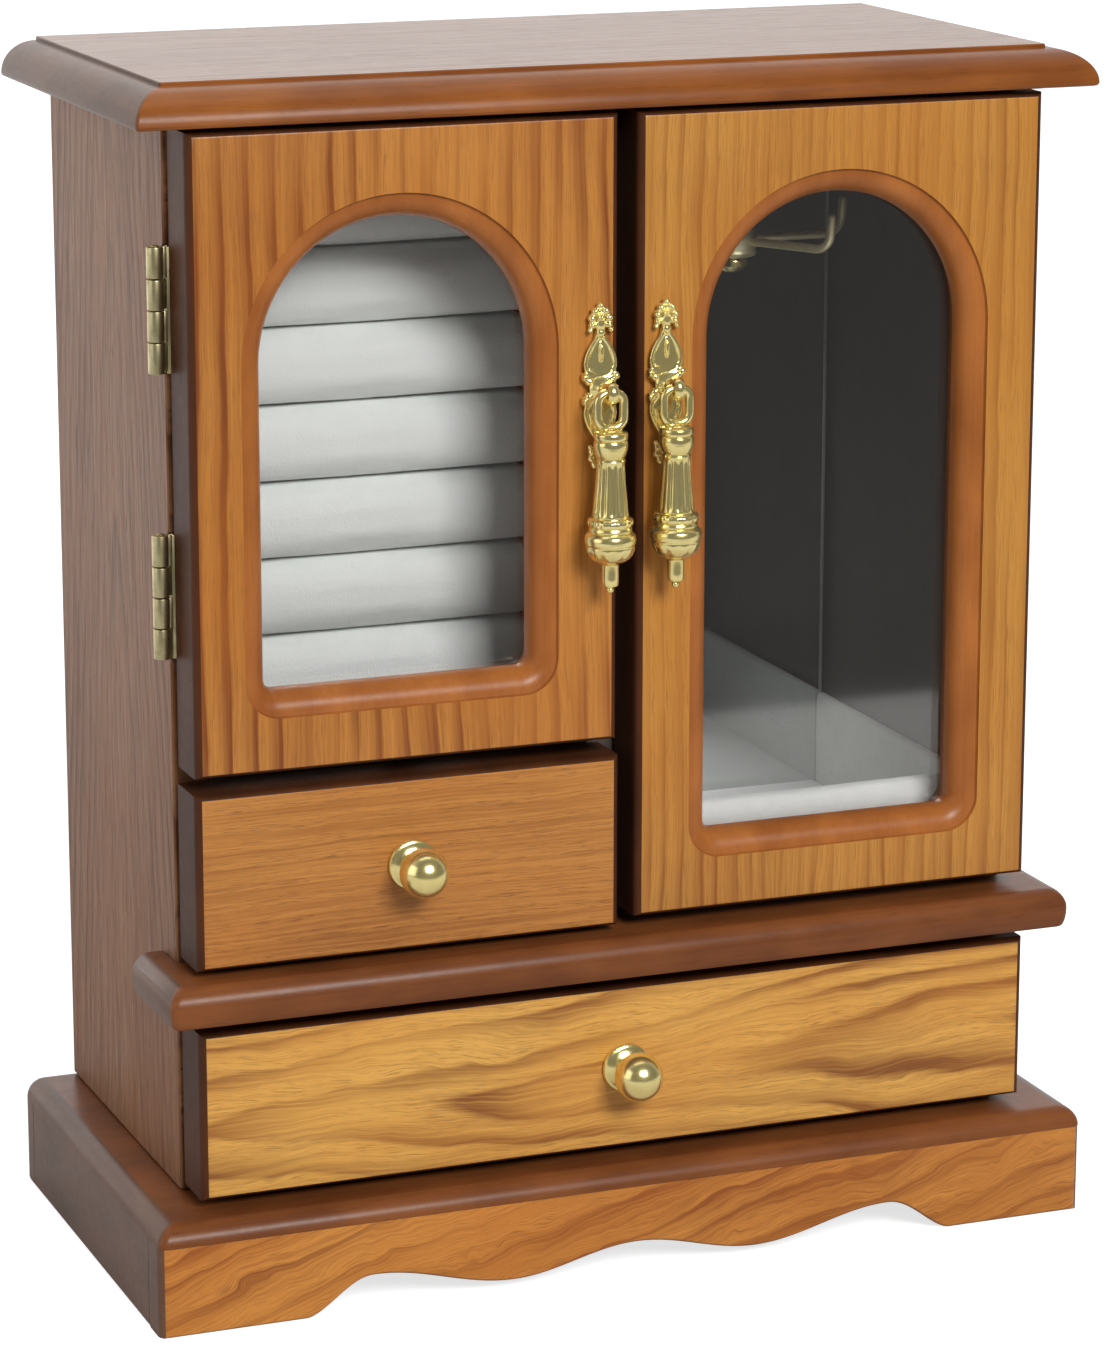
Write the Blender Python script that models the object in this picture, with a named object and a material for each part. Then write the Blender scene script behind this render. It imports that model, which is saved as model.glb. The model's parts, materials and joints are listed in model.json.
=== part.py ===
"""Wooden jewelry box: a small cabinet with two glazed doors and two drawers.

Units are metres, +Z is up and the fronts face -Y.  The origin lies on the floor under the
middle of the whole box, handles included.  The left door opens on a column of ring rolls,
the right door on a tall bay with a turning necklace carousel and a lined bin below it.
"""
import math

import bmesh
import bpy
from mathutils import Matrix, Vector

# ---------------------------------------------------------------- driving dimensions
HEIGHT = 0.310            # floor to the top surface
CASE_WIDTH = 0.229        # over the outer faces of the side panels
CASE_DEPTH = 0.0993       # front edge of a side panel to the back of the case
PANEL = 0.009             # side panels, divider and deck
BACK_PANEL = 0.006        # back board
GAP = 0.0003              # clearance between pieces that touch
REVEAL = 0.0015           # air behind the closed doors and drawer fronts

TOP_THICK = 0.010         # top board
TOP_SIDE = 0.0127         # its overhang past a side panel
TOP_SHIFT = 0.0008        # it sits this much to the right of the case
TOP_FRONT = 0.0029        # its overhang past the door faces
TOP_ROUND = 0.0095        # width of its edge moulding at the sides
TOP_ROUND_FRONT = 0.0120  # and along the front; the back edge is square
TOP_STEP = 0.0010         # small square step above the moulding

BASE_SIDE = 0.0135        # overhang of the base past a side panel
BASE_FRONT = 0.0089       # overhang of the base past the door faces
BASE_BACK = 0.0035        # overhang of top and base past the back
SKIRT_HEIGHT = 0.0235     # floor to the underside of the base board
SKIRT_THICK = 0.010       # boards of the base frame
LEDGE = 0.0051            # base board thickness, its edge a quarter round
BASE_CORNER = 0.0050      # plan rounding of the two back corners of the base
FOOT = 0.0385             # flat part of the front skirt at each corner
SKIRT_RISE = 0.0092       # height of the outer arches of the front skirt
SKIRT_DIP = 0.0026        # height of the two points between the arches
SKIRT_CROWN = 0.0082      # height of the middle arch

FRONT_THICK = 0.0155      # doors and drawer fronts
FRONT_ROUND = 0.0020      # rounding of their front edges
BIG_FRONT = 0.0437        # height of the lower drawer's front
SMALL_FRONT = 0.0449      # height of the upper drawer's front
RAIL_THICK = 0.0101       # moulded rail between the drawers
RAIL_SIDE = 0.0087        # its overhang past a side panel
RAIL_FRONT = 0.0076       # its overhang past the door faces
RAIL_EAR = 0.0109         # how far its ends return along the side panels
CRACK = 0.0027            # height of the free line under and over a front
DOOR_CRACK = 0.0036       # free line under a door
DOOR_TOP_CRACK = 0.0012   # free line over a door
SIDE_INSET = 0.0009       # door edge inside the outer face of the side panel
DRAWER_INSET = 0.0006     # drawer front edge inside the case side
MEETING_GAP = 0.0052      # free line between the two doors

WINDOW_WIDTH = 0.082      # outer width of the moulded window edge
WINDOW_EDGE = 0.0062      # width of that moulding
WINDOW_TOP_RAIL = 0.0168  # wood above the arch
WINDOW_LOW_RAIL = 0.0138  # wood below the window
WINDOW_SHIFT = 0.0015     # left window sits this much nearer to its hinges
WINDOW_CORNER = 0.009     # radius of the lower corners
GLASS = 0.002
GLASS_SEAT = 0.008        # depth from the door face to the glass
REBATE = 0.003            # glass rebate past the sight line

HINGE_LENGTH = 0.031
HINGE_INSET = 0.0290      # door top to hinge end
HINGE_INSET_LOW = 0.0275  # door foot to hinge end
HINGE_RADIUS = 0.00215
HINGE_PIN = 0.00095
HINGE_OUT = 0.0023        # pin axis outside the side panel's face
HINGE_LEAF = 0.001
HINGE_LEAF_WIDTH = 0.0075
HINGE_KNUCKLES = 4

HANDLE_IN_RIGHT = 0.0068  # right pull's axis from its door's meeting edge
HANDLE_IN_LEFT = 0.0056   # and the left pull's
HANDLE_Z = 0.2310         # height of the pivot of a pull
PLATE_LENGTH = 0.0436
PLATE_WIDTH = 0.0096
PLATE_THICK = 0.0016
DROP_OUT = 0.0085         # pivot in front of the door face
DROP_LENGTH = 0.0505      # pivot to the tip
DROP_BELLY = 0.0065       # largest radius of the drop
EYE_WIRE = 0.0011         # radius of the eye's wire
EYE_HEIGHT = 0.0087       # pivot to the lowest middle line of the eye
LOOP_RADIUS = 0.0031
LOOP_WIDTH = 0.0026

KNOB_BALL = 0.0063
KNOB_FLANGE = 0.0065
KNOB_OUT = 0.0155         # front of the ball from the drawer face

ROLL_COUNT = 7
ROLL_PITCH = 0.0198
ROLL_START = 0.0037       # shelf to the lowest roll
ROLL_DEPTH = 0.0205
ROLL_SETBACK = 0.0225     # front of the rolls behind the case's front edge
SHELF = 0.006             # board over the upper drawer

BIN_HEIGHT = 0.0285       # lined bin at the foot of the right bay
BIN_WALL = 0.003
BIN_BOARD = 0.0015        # its floor, one piece with the two walls
BIN_PAD = 0.0065          # padded front wall of the bin
BIN_PAD_DROP = 0.0012     # its top below the tops of the walls
MIRROR = 0.0024

CAROUSEL_DROP = 0.0440    # ceiling to the arms
CAROUSEL_REACH = 0.0320   # spindle to a hook's tip
CAROUSEL_HOOKS = 6
HOOK_RISE = 0.0100
HOOK_WIRE = 0.0010
SPINDLE = 0.0022

DRAWER_BOARD = 0.005      # drawer sides and backs
DRAWER_FLOOR = 0.003
DRAWER_FELT = 0.0015
DRAWER_PLAY = 0.0008      # drawer box to the case at each side

# ---------------------------------------------------------------- derived positions
half_case = CASE_WIDTH / 2
half_base = half_case + BASE_SIDE
half_inside = half_case - PANEL
half_divider = PANEL / 2
front_reach = max(DROP_OUT + DROP_BELLY, KNOB_OUT, BASE_FRONT)
back_reach = FRONT_THICK + REVEAL + CASE_DEPTH + BASE_BACK
face_y = front_reach - (front_reach + back_reach) / 2      # plane of all door and drawer faces
front_back_y = face_y + FRONT_THICK                        # back of doors and drawer fronts
case_y = front_back_y + REVEAL                             # front edge of the panels
case_back_y = case_y + CASE_DEPTH
back_y = case_back_y + BASE_BACK
back_board_y = case_back_y - BACK_PANEL
base_front_y = face_y - BASE_FRONT

base_top_z = SKIRT_HEIGHT + LEDGE
top_z = HEIGHT - TOP_THICK
big_low_z = base_top_z + CRACK
big_high_z = big_low_z + BIG_FRONT
rail_low_z = big_high_z + CRACK + 0.0014
rail_high_z = rail_low_z + RAIL_THICK
deck_high_z = rail_high_z - GAP
deck_low_z = deck_high_z - PANEL
small_low_z = rail_high_z + CRACK - 0.0008
small_high_z = small_low_z + SMALL_FRONT
left_low_z = small_high_z + CRACK + 0.0016
right_low_z = rail_high_z + DOOR_CRACK
door_high_z = top_z - DOOR_TOP_CRACK
shelf_high_z = left_low_z - 0.0002
shelf_low_z = shelf_high_z - SHELF
ceiling_z = top_z - GAP

door_outer = half_case - SIDE_INSET
door_inner = MEETING_GAP / 2
hinge_x = half_case + HINGE_OUT
hinge_y = front_back_y + REVEAL / 2
mirror_y = back_board_y - GAP - MIRROR
bay_middle_x = (half_divider + half_inside) / 2
bay_middle_y = (case_y + mirror_y) / 2


# ---------------------------------------------------------------- materials
def make_material(name, colour, roughness, metallic=0.0, transmission=0.0):
    material = bpy.data.materials.new(name)
    material.use_nodes = True
    shader = material.node_tree.nodes["Principled BSDF"]
    shader.inputs["Base Color"].default_value = (*colour, 1.0)
    shader.inputs["Roughness"].default_value = roughness
    shader.inputs["Metallic"].default_value = metallic
    shader.inputs["Transmission Weight"].default_value = transmission
    material.diffuse_color = (*colour, 1.0)
    return material


LOOKS = {
    "front_oak": ((0.52, 0.22, 0.060), 0.38),
    "drawer_oak": ((0.56, 0.29, 0.085), 0.38),
    "case_oak": ((0.24, 0.150, 0.095), 0.42),
    "top_oak": ((0.36, 0.24, 0.17), 0.35),
    "moulding": ((0.25, 0.105, 0.040), 0.33),
    "inner_wood": ((0.33, 0.19, 0.10), 0.60),
    "board": ((0.10, 0.075, 0.055), 0.75),
    "plush": ((0.74, 0.77, 0.73), 0.95),
    "felt": ((0.66, 0.69, 0.66), 0.95),
    "glass": ((0.90, 0.94, 0.92), 0.04, 0.0, 0.92),
    "mirror": ((0.78, 0.80, 0.80), 0.04, 1.0),
    "gold": ((0.86, 0.62, 0.20), 0.16, 1.0),
    "antique_brass": ((0.60, 0.50, 0.27), 0.30, 1.0),
    "steel": ((0.45, 0.45, 0.46), 0.35, 1.0),
}


# ---------------------------------------------------------------- mesh helpers
def finish(name, mesh_data, look, pivot=(0.0, 0.0, 0.0), smooth=False):
    """Turn a bmesh into a named object whose origin lies on the given pivot."""
    bmesh.ops.recalc_face_normals(mesh_data, faces=mesh_data.faces)
    bmesh.ops.translate(mesh_data, verts=mesh_data.verts, vec=-Vector(pivot))
    mesh = bpy.data.meshes.new(name)
    mesh_data.to_mesh(mesh)
    mesh_data.free()
    item = bpy.data.objects.new(name, mesh)
    item.location = pivot
    bpy.context.scene.collection.objects.link(item)
    mesh.materials.append(make_material(name, *LOOKS[look]))
    if smooth:
        mesh.shade_smooth()
        mesh.set_sharp_from_angle(angle=math.radians(38))
    return item


def add_loft(mesh_data, rings, closed=False):
    """Skin a list of rings that hold the same number of points; cap the ends."""
    loops = [[mesh_data.verts.new(point) for point in ring] for ring in rings]
    count = len(loops[0])
    pairs = list(zip(loops[:-1], loops[1:]))
    if closed:
        pairs.append((loops[-1], loops[0]))
    for lower, upper in pairs:
        for i in range(count):
            j = (i + 1) % count
            mesh_data.faces.new((lower[i], lower[j], upper[j], upper[i]))
    if not closed:
        mesh_data.faces.new(loops[0])
        mesh_data.faces.new(list(reversed(loops[-1])))
    return mesh_data


def loft(name, rings, look, **options):
    return finish(name, add_loft(bmesh.new(), rings), look, **options)


def box_rings(low, high, ease=0.0004):
    """Rings of a box whose edges are eased by a small chamfer."""
    (x0, y0, z0), (x1, y1, z1) = low, high

    def ring(z, inset, cut):
        a, b, c, d = x0 + inset, x1 - inset, y0 + inset, y1 - inset
        return [Vector((a + cut, c, z)), Vector((b - cut, c, z)), Vector((b, c + cut, z)),
                Vector((b, d - cut, z)), Vector((b - cut, d, z)), Vector((a + cut, d, z)),
                Vector((a, d - cut, z)), Vector((a, c + cut, z))]

    return [ring(z0, ease, ease), ring(z0 + ease, 0.0, ease),
            ring(z1 - ease, 0.0, ease), ring(z1, ease, ease)]


def board(name, low, high, look, ease=0.0004, **options):
    return loft(name, box_rings(low, high, ease), look, **options)


def rounded_front(x0, x1, z0, z1):
    """Rings of a door or drawer front: square back, rounded front edges."""
    steps = []
    for k in range(5):
        angle = math.pi / 2 * k / 4
        steps.append((FRONT_ROUND * (1 - math.sin(angle)), FRONT_ROUND * (1 - math.cos(angle))))
    steps.append((0.0, FRONT_THICK))
    rings = []
    for inset, depth in steps:
        y = face_y + depth
        rings.append([Vector((x0 + inset, y, z0 + inset)), Vector((x1 - inset, y, z0 + inset)),
                      Vector((x1 - inset, y, z1 - inset)), Vector((x0 + inset, y, z1 - inset))])
    return rings


def turned(profile, centre, axis, segments=24):
    """Solid of revolution: (radius, distance along axis) steps between two pointed ends."""
    mesh_data = bmesh.new()
    turn = Vector((0, 0, 1)).rotation_difference(Vector(axis)).to_matrix()
    centre = Vector(centre)
    first = mesh_data.verts.new(centre + turn @ Vector((0, 0, profile[0][1])))
    last = mesh_data.verts.new(centre + turn @ Vector((0, 0, profile[-1][1])))
    loops = []
    for radius, along in profile:
        if radius <= 0:
            continue
        loops.append([mesh_data.verts.new(centre + turn @ Vector((
            radius * math.cos(2 * math.pi * k / segments),
            radius * math.sin(2 * math.pi * k / segments), along))) for k in range(segments)])
    for i in range(segments):
        j = (i + 1) % segments
        mesh_data.faces.new((first, loops[0][j], loops[0][i]))
        mesh_data.faces.new((last, loops[-1][i], loops[-1][j]))
        for lower, upper in zip(loops[:-1], loops[1:]):
            mesh_data.faces.new((lower[i], lower[j], upper[j], upper[i]))
    return mesh_data


def rod(radius, start, end, segments=16):
    """Cylinder between two points."""
    start = Vector(start)
    reach = Vector(end) - start
    return turned([(0, 0), (radius, 0), (radius, reach.length), (0, reach.length)],
                  start, reach.normalized(), segments)


def tube(points, radius, sides=8, closed=False):
    """Round wire along a path that lies in one plane."""
    points = [Vector(point) for point in points]
    count = len(points)
    plane = Vector((0, 0, 0))
    for a, b, c in zip(points[:-2], points[1:-1], points[2:]):
        plane += (b - a).cross(c - b)
    plane.normalize()
    rings = []
    for i in range(count):
        if closed:
            tangent = points[(i + 1) % count] - points[i - 1]
        else:
            tangent = points[min(i + 1, count - 1)] - points[max(i - 1, 0)]
        side = tangent.normalized().cross(plane).normalized()
        rings.append([points[i] + radius * (math.cos(2 * math.pi * k / sides) * side
                                            + math.sin(2 * math.pi * k / sides) * plane)
                      for k in range(sides)])
    return add_loft(bmesh.new(), rings, closed)


def combine(item, pieces, operation):
    """Join pieces to an item, or cut them from it, and keep the result as its mesh."""
    for piece in pieces:
        tool = finish(item.name + "_tool", piece, "steel")
        tool.hide_render = True
        tool.display_type = "WIRE"
        step = item.modifiers.new(operation.title(), "BOOLEAN")
        step.operation = operation
        step.solver = "EXACT"
        step.object = tool
        bpy.context.view_layer.update()
        shaped = item.evaluated_get(bpy.context.evaluated_depsgraph_get())
        old = item.data
        item.data = bpy.data.meshes.new_from_object(shaped)
        item.data.name = item.name
        item.modifiers.clear()
        bpy.data.objects.remove(tool)
        bpy.data.meshes.remove(old)
    item.data.materials.clear()
    item.data.materials.append(bpy.data.materials[item.name])
    return item


def block(low, high, ease=0.00005):
    return add_loft(bmesh.new(), box_rings(low, high, ease))


def smooth_round(item, degrees=38):
    item.data.shade_smooth()
    item.data.set_sharp_from_angle(angle=math.radians(degrees))


def mirrored(side, a, b):
    """Sorted x range of a piece given for the right side (side 1) or the left (side -1)."""
    return (a, b) if side > 0 else (-b, -a)


def plan_corners(x, y, radius, z):
    """The two rounded back corners of an outline, from the right side to the left."""
    points = []
    for side in (1, -1):
        arc = []
        for k in range(6):
            angle = math.pi / 2 * k / 5
            arc.append(Vector((side * (x - radius + radius * math.cos(angle)),
                               y - radius + radius * math.sin(angle), z)))
        points += arc if side > 0 else arc[::-1]
    return points


# ---------------------------------------------------------------- the case
def build_top():
    profile = [(0.0008, top_z), (0.0, top_z + 0.0008)]
    rise = TOP_THICK - TOP_STEP - 0.0008
    for k in range(1, 9):
        angle = math.pi / 2 * k / 8
        profile.append((TOP_ROUND * 0.96 * (1 - math.cos(angle)),
                        top_z + 0.0008 + rise * math.sin(angle)))
    profile.append((TOP_ROUND, HEIGHT - TOP_STEP))
    profile.append((TOP_ROUND, HEIGHT))
    half = half_case + TOP_SIDE
    deeper = TOP_ROUND_FRONT / TOP_ROUND
    rings = []
    for inset, z in profile:
        left, right = TOP_SHIFT - half + inset, TOP_SHIFT + half - inset
        front = face_y - TOP_FRONT + inset * deeper
        rings.append([Vector((left, front, z)), Vector((right, front, z)), Vector((right, back_y, z)),
                      Vector((left, back_y, z))])
    loft("top_board", rings, "top_oak")


def build_base():
    profile = []
    for k in range(7):
        angle = math.pi / 2 * k / 6
        profile.append((LEDGE * (1 - math.cos(angle)), SKIRT_HEIGHT + LEDGE * math.sin(angle)))
    rings = []
    for inset, z in profile:
        x, front, back = half_base - inset, base_front_y + inset, back_y - inset
        ring = [Vector((-x, front, z)), Vector((x, front, z))]
        ring += plan_corners(x, back, max(BASE_CORNER - inset, 0.0008), z)
        rings.append(ring)
    loft("base_board", rings, "moulding")

    def edge_height(x):
        """Lower edge of the front skirt: three arches between two flat feet."""
        span = half_base - FOOT
        x = abs(x)
        peak = span * 0.80
        dip = span * 0.375
        if x >= span:
            return 0.0
        if x >= peak:
            share = (span - x) / (span - peak)
            return SKIRT_RISE * (0.5 - 0.5 * math.cos(math.pi * min(1.0, share))) ** 0.8
        if x >= dip:
            share = (peak - x) / (peak - dip)
            return SKIRT_RISE + (SKIRT_DIP - SKIRT_RISE) * (0.5 - 0.5 * math.cos(math.pi * share))
        share = (dip - x) / dip
        return SKIRT_DIP + (SKIRT_CROWN - SKIRT_DIP) * (0.5 - 0.5 * math.cos(math.pi * share))

    steps = 44
    span = half_base - FOOT
    lower = [(-span + 2 * span * k / steps) for k in range(steps + 1)]
    rings = []
    corner = 0.003
    for k in range(5):
        angle = math.pi / 2 * k / 4
        rings.append((corner * (1 - math.sin(angle)), base_front_y + corner * (1 - math.cos(angle))))
    rings.append((0.0, base_front_y + SKIRT_THICK))
    skirt_top = SKIRT_HEIGHT - GAP
    loops = []
    for inset, y in rings:
        end = half_base - inset
        ring = [Vector((-end, y, 0.0))]
        ring += [Vector((x, y, edge_height(x))) for x in lower]
        ring += [Vector((end, y, 0.0)), Vector((end, y, skirt_top)), Vector((-end, y, skirt_top))]
        loops.append(ring)
    loft("skirt_front", loops, "drawer_oak")
    y0 = base_front_y + SKIRT_THICK + GAP
    y1 = back_y - SKIRT_THICK - GAP
    for side, name in ((-1, "skirt_left"), (1, "skirt_right")):
        x0, x1 = mirrored(side, half_base - SKIRT_THICK, half_base)
        board(name, (x0, y0, 0.0), (x1, y1, skirt_top), "moulding")
    inner = back_y - SKIRT_THICK
    rings = []
    for z in (0.0, skirt_top):
        ring = [Vector((-half_base, inner, z)), Vector((half_base, inner, z))]
        ring += plan_corners(half_base, back_y, BASE_CORNER, z)
        rings.append(ring)
    loft("skirt_back", rings, "moulding")


def hinge_heights(low_z):
    """Lower ends of the two hinges of a door."""
    return {"upper": door_high_z - HINGE_INSET - HINGE_LENGTH, "lower": low_z + HINGE_INSET_LOW}


def build_case():
    for side, name, low in ((-1, "side_panel_left", left_low_z), (1, "side_panel_right", right_low_z)):
        x0, x1 = mirrored(side, half_inside, half_case)
        panel = board(name, (x0, case_y, base_top_z + GAP), (x1, case_back_y, ceiling_z), "case_oak")
        cuts = []
        for z in hinge_heights(low).values():
            a, b = mirrored(side, half_case - HINGE_LEAF_WIDTH - 2 * GAP, half_case + 0.001)
            cuts.append(block((a, case_y - 0.001, z - GAP),
                              (b, case_y + 0.0008, z + HINGE_LENGTH + GAP)))
        combine(panel, cuts, "DIFFERENCE")
    inner = half_inside - GAP
    board("back_panel", (-inner, back_board_y, base_top_z + GAP), (inner, case_back_y, ceiling_z),
          "board")
    board("deck_panel", (-inner, case_y + GAP, deck_low_z), (inner, back_board_y - GAP, deck_high_z),
          "inner_wood")
    board("divider_panel", (-half_divider, case_y, deck_high_z + GAP),
          (half_divider, back_board_y - GAP, ceiling_z), "inner_wood")
    board("shelf_panel", (-inner, case_y, shelf_low_z), (-half_divider - GAP, back_board_y - GAP,
          shelf_high_z), "inner_wood")

    outer = half_case + RAIL_SIDE
    y_front = face_y - RAIL_FRONT
    y_ear = case_y + RAIL_EAR
    inside = half_case + GAP
    rings = []
    for k in range(9):
        angle = math.pi * (k / 8 - 0.5)
        inset = (1 - math.cos(angle)) * RAIL_THICK * 0.42
        z = rail_low_z + RAIL_THICK * (0.5 + 0.5 * math.sin(angle))
        x = outer - inset
        y = y_front + inset
        rings.append([Vector((-x, y, z)), Vector((x, y, z)), Vector((x, y_ear, z)),
                      Vector((inside, y_ear, z)), Vector((inside, case_y - GAP, z)),
                      Vector((-inside, case_y - GAP, z)), Vector((-inside, y_ear, z)),
                      Vector((-x, y_ear, z))])
    loft("mid_rail", rings, "moulding")


# ---------------------------------------------------------------- doors
def arch_outline(middle, half, low, high, corner, y):
    """Closed outline of an arched window: round head, straight sides, rounded lower corners."""
    points = []
    spring = high - half
    for k in range(25):
        angle = math.pi * k / 24
        points.append(Vector((middle + half * math.cos(angle), y, spring + half * math.sin(angle))))
    for k in range(5):
        angle = math.pi + math.pi / 2 * k / 4
        points.append(Vector((middle - half + corner + corner * math.cos(angle), y,
                              low + corner + corner * math.sin(angle))))
    for k in range(5):
        angle = 1.5 * math.pi + math.pi / 2 * k / 4
        points.append(Vector((middle + half - corner + corner * math.cos(angle), y,
                              low + corner + corner * math.sin(angle))))
    return points


def window_ring(middle, low, inset, depth):
    corner = max(WINDOW_CORNER - inset, 0.0020)
    return arch_outline(middle, WINDOW_WIDTH / 2 - inset, low + WINDOW_LOW_RAIL + inset,
                        door_high_z - WINDOW_TOP_RAIL - inset, corner, face_y + depth)


def build_door(side, low_z):
    word = "right" if side > 0 else "left"
    x0, x1 = mirrored(side, door_inner, door_outer)
    middle = (x0 + x1) / 2 + (-WINDOW_SHIFT if side < 0 else 0.0)
    pivot = (side * hinge_x, hinge_y, low_z)
    door = loft("door_" + word, rounded_front(x0, x1, low_z, door_high_z), "front_oak", pivot=pivot)
    rim = WINDOW_EDGE
    steps = [(0.0, -0.001), (0.0, 0.0006), (0.0005, 0.0007)]
    for k in range(1, 4):
        angle = math.pi / 2 * k / 3
        steps.append((0.0005 + 0.0019 * math.sin(angle), 0.0007 + 0.0017 * (1 - math.cos(angle))))
    steps += [(rim * 0.62, 0.0037), (rim, 0.0041), (rim, GLASS_SEAT)]
    steps += [(rim - REBATE, GLASS_SEAT), (rim - REBATE, FRONT_THICK + 0.001)]
    cuts = [add_loft(bmesh.new(), [window_ring(middle, low_z, i, d) for i, d in steps])]
    for z in hinge_heights(low_z).values():
        a, b = mirrored(side, door_outer - HINGE_LEAF_WIDTH, door_outer + 0.001)
        cuts.append(block((a, front_back_y - 0.0008, z - GAP),
                          (b, front_back_y + 0.001, z + HINGE_LENGTH + GAP)))
    if side < 0:
        cuts.append(block(strike_box(-GAP, 0.001)[0], strike_box(-GAP, 0.001)[1]))
    combine(door, cuts, "DIFFERENCE")
    glass_inset = rim - REBATE + GAP
    loft("glass_" + word, [window_ring(middle, low_z, glass_inset, GLASS_SEAT + GAP),
                           window_ring(middle, low_z, glass_inset, GLASS_SEAT + GAP + GLASS)],
         "glass", pivot=pivot)


def strike_box(grow=0.0, back=0.0):
    """Steel strike plate let into the back of the left door's lower rail."""
    x = -0.054
    z = left_low_z + 0.0075
    y = front_back_y - 0.0006
    return ((x - 0.004 + grow, y - 0.0002 + grow, z - 0.004 + grow),
            (x + 0.004 - grow, y + 0.0011 + back, z + 0.004 - grow))


def build_catch():
    low, high = strike_box()
    board("strike_left", low, high, "steel", ease=0.0002, pivot=(-hinge_x, hinge_y, left_low_z))
    x = (low[0] + high[0]) / 2
    y = high[1] + GAP + 0.0041
    z = shelf_high_z + GAP
    profile = [(0, 0), (0.0038, 0), (0.0038, 0.0142), (0.0032, 0.0150), (0, 0.0150)]
    finish("catch_left", turned(profile, (x, y, z), (0, 0, 1), 20), "steel", smooth=True)


def build_hinges(side, low_z):
    word = "right" if side > 0 else "left"
    part = HINGE_LENGTH / HINGE_KNUCKLES
    for place, z in hinge_heights(low_z).items():
        axis_x = side * hinge_x
        pivot = (axis_x, hinge_y, z)
        inner = hinge_x - HINGE_OUT - HINGE_LEAF_WIDTH + GAP
        for kind in ("fixed", "swing"):
            own = 0 if kind == "fixed" else 1
            if kind == "fixed":
                y0, y1 = hinge_y + 0.00025, hinge_y + 0.00025 + HINGE_LEAF
            else:
                y0, y1 = hinge_y - 0.00025 - HINGE_LEAF, hinge_y - 0.00025
            a, b = mirrored(side, inner, hinge_x - HINGE_RADIUS - GAP)
            leaf = board("hinge_%s_%s_%s" % (word, place, kind), (a, y0, z), (b, y1, z + HINGE_LENGTH),
                         "antique_brass", ease=0.0001, pivot=pivot)
            joins = []
            for k in range(HINGE_KNUCKLES):
                if k % 2 != own:
                    continue
                low = z + part * k + (GAP / 2 if k else 0.0)
                high = z + part * (k + 1) - (GAP / 2 if k < HINGE_KNUCKLES - 1 else 0.0)
                joins.append(rod(HINGE_RADIUS, (axis_x, hinge_y, low), (axis_x, hinge_y, high), 18))
                a, b = mirrored(side, hinge_x - HINGE_RADIUS - 2 * GAP, hinge_x - HINGE_PIN - 0.0006)
                joins.append(block((a, y0, low), (b, y1, high)))
            if kind == "fixed":
                joins.append(rod(HINGE_PIN, (axis_x, hinge_y, z + 0.001),
                                 (axis_x, hinge_y, z + HINGE_LENGTH + 0.0004), 12))
            combine(leaf, joins, "UNION")
            if kind == "swing":
                hole = rod(HINGE_PIN + GAP, (axis_x, hinge_y, z - 0.001),
                           (axis_x, hinge_y, z + HINGE_LENGTH + 0.001), 12)
                combine(leaf, [hole], "DIFFERENCE")
            smooth_round(leaf)


# ---------------------------------------------------------------- pulls and knobs
def plate_half_width(share):
    """Half width of the back plate from its foot (0) to the top of its crown (1)."""
    share = 1 - share if share < 0.5 else share
    stations = [(0.5, 0.62), (0.56, 1.0), (0.64, 0.92), (0.74, 0.66), (0.83, 0.26), (0.87, 0.58),
                (0.93, 0.66), (0.97, 0.36), (1.0, 0.12)]
    for (a, wide_a), (b, wide_b) in zip(stations[:-1], stations[1:]):
        if share <= b:
            blend = 0.5 - 0.5 * math.cos(math.pi * (share - a) / (b - a))
            return PLATE_WIDTH / 2 * (wide_a + (wide_b - wide_a) * blend)
    return PLATE_WIDTH / 2 * stations[-1][1]


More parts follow.
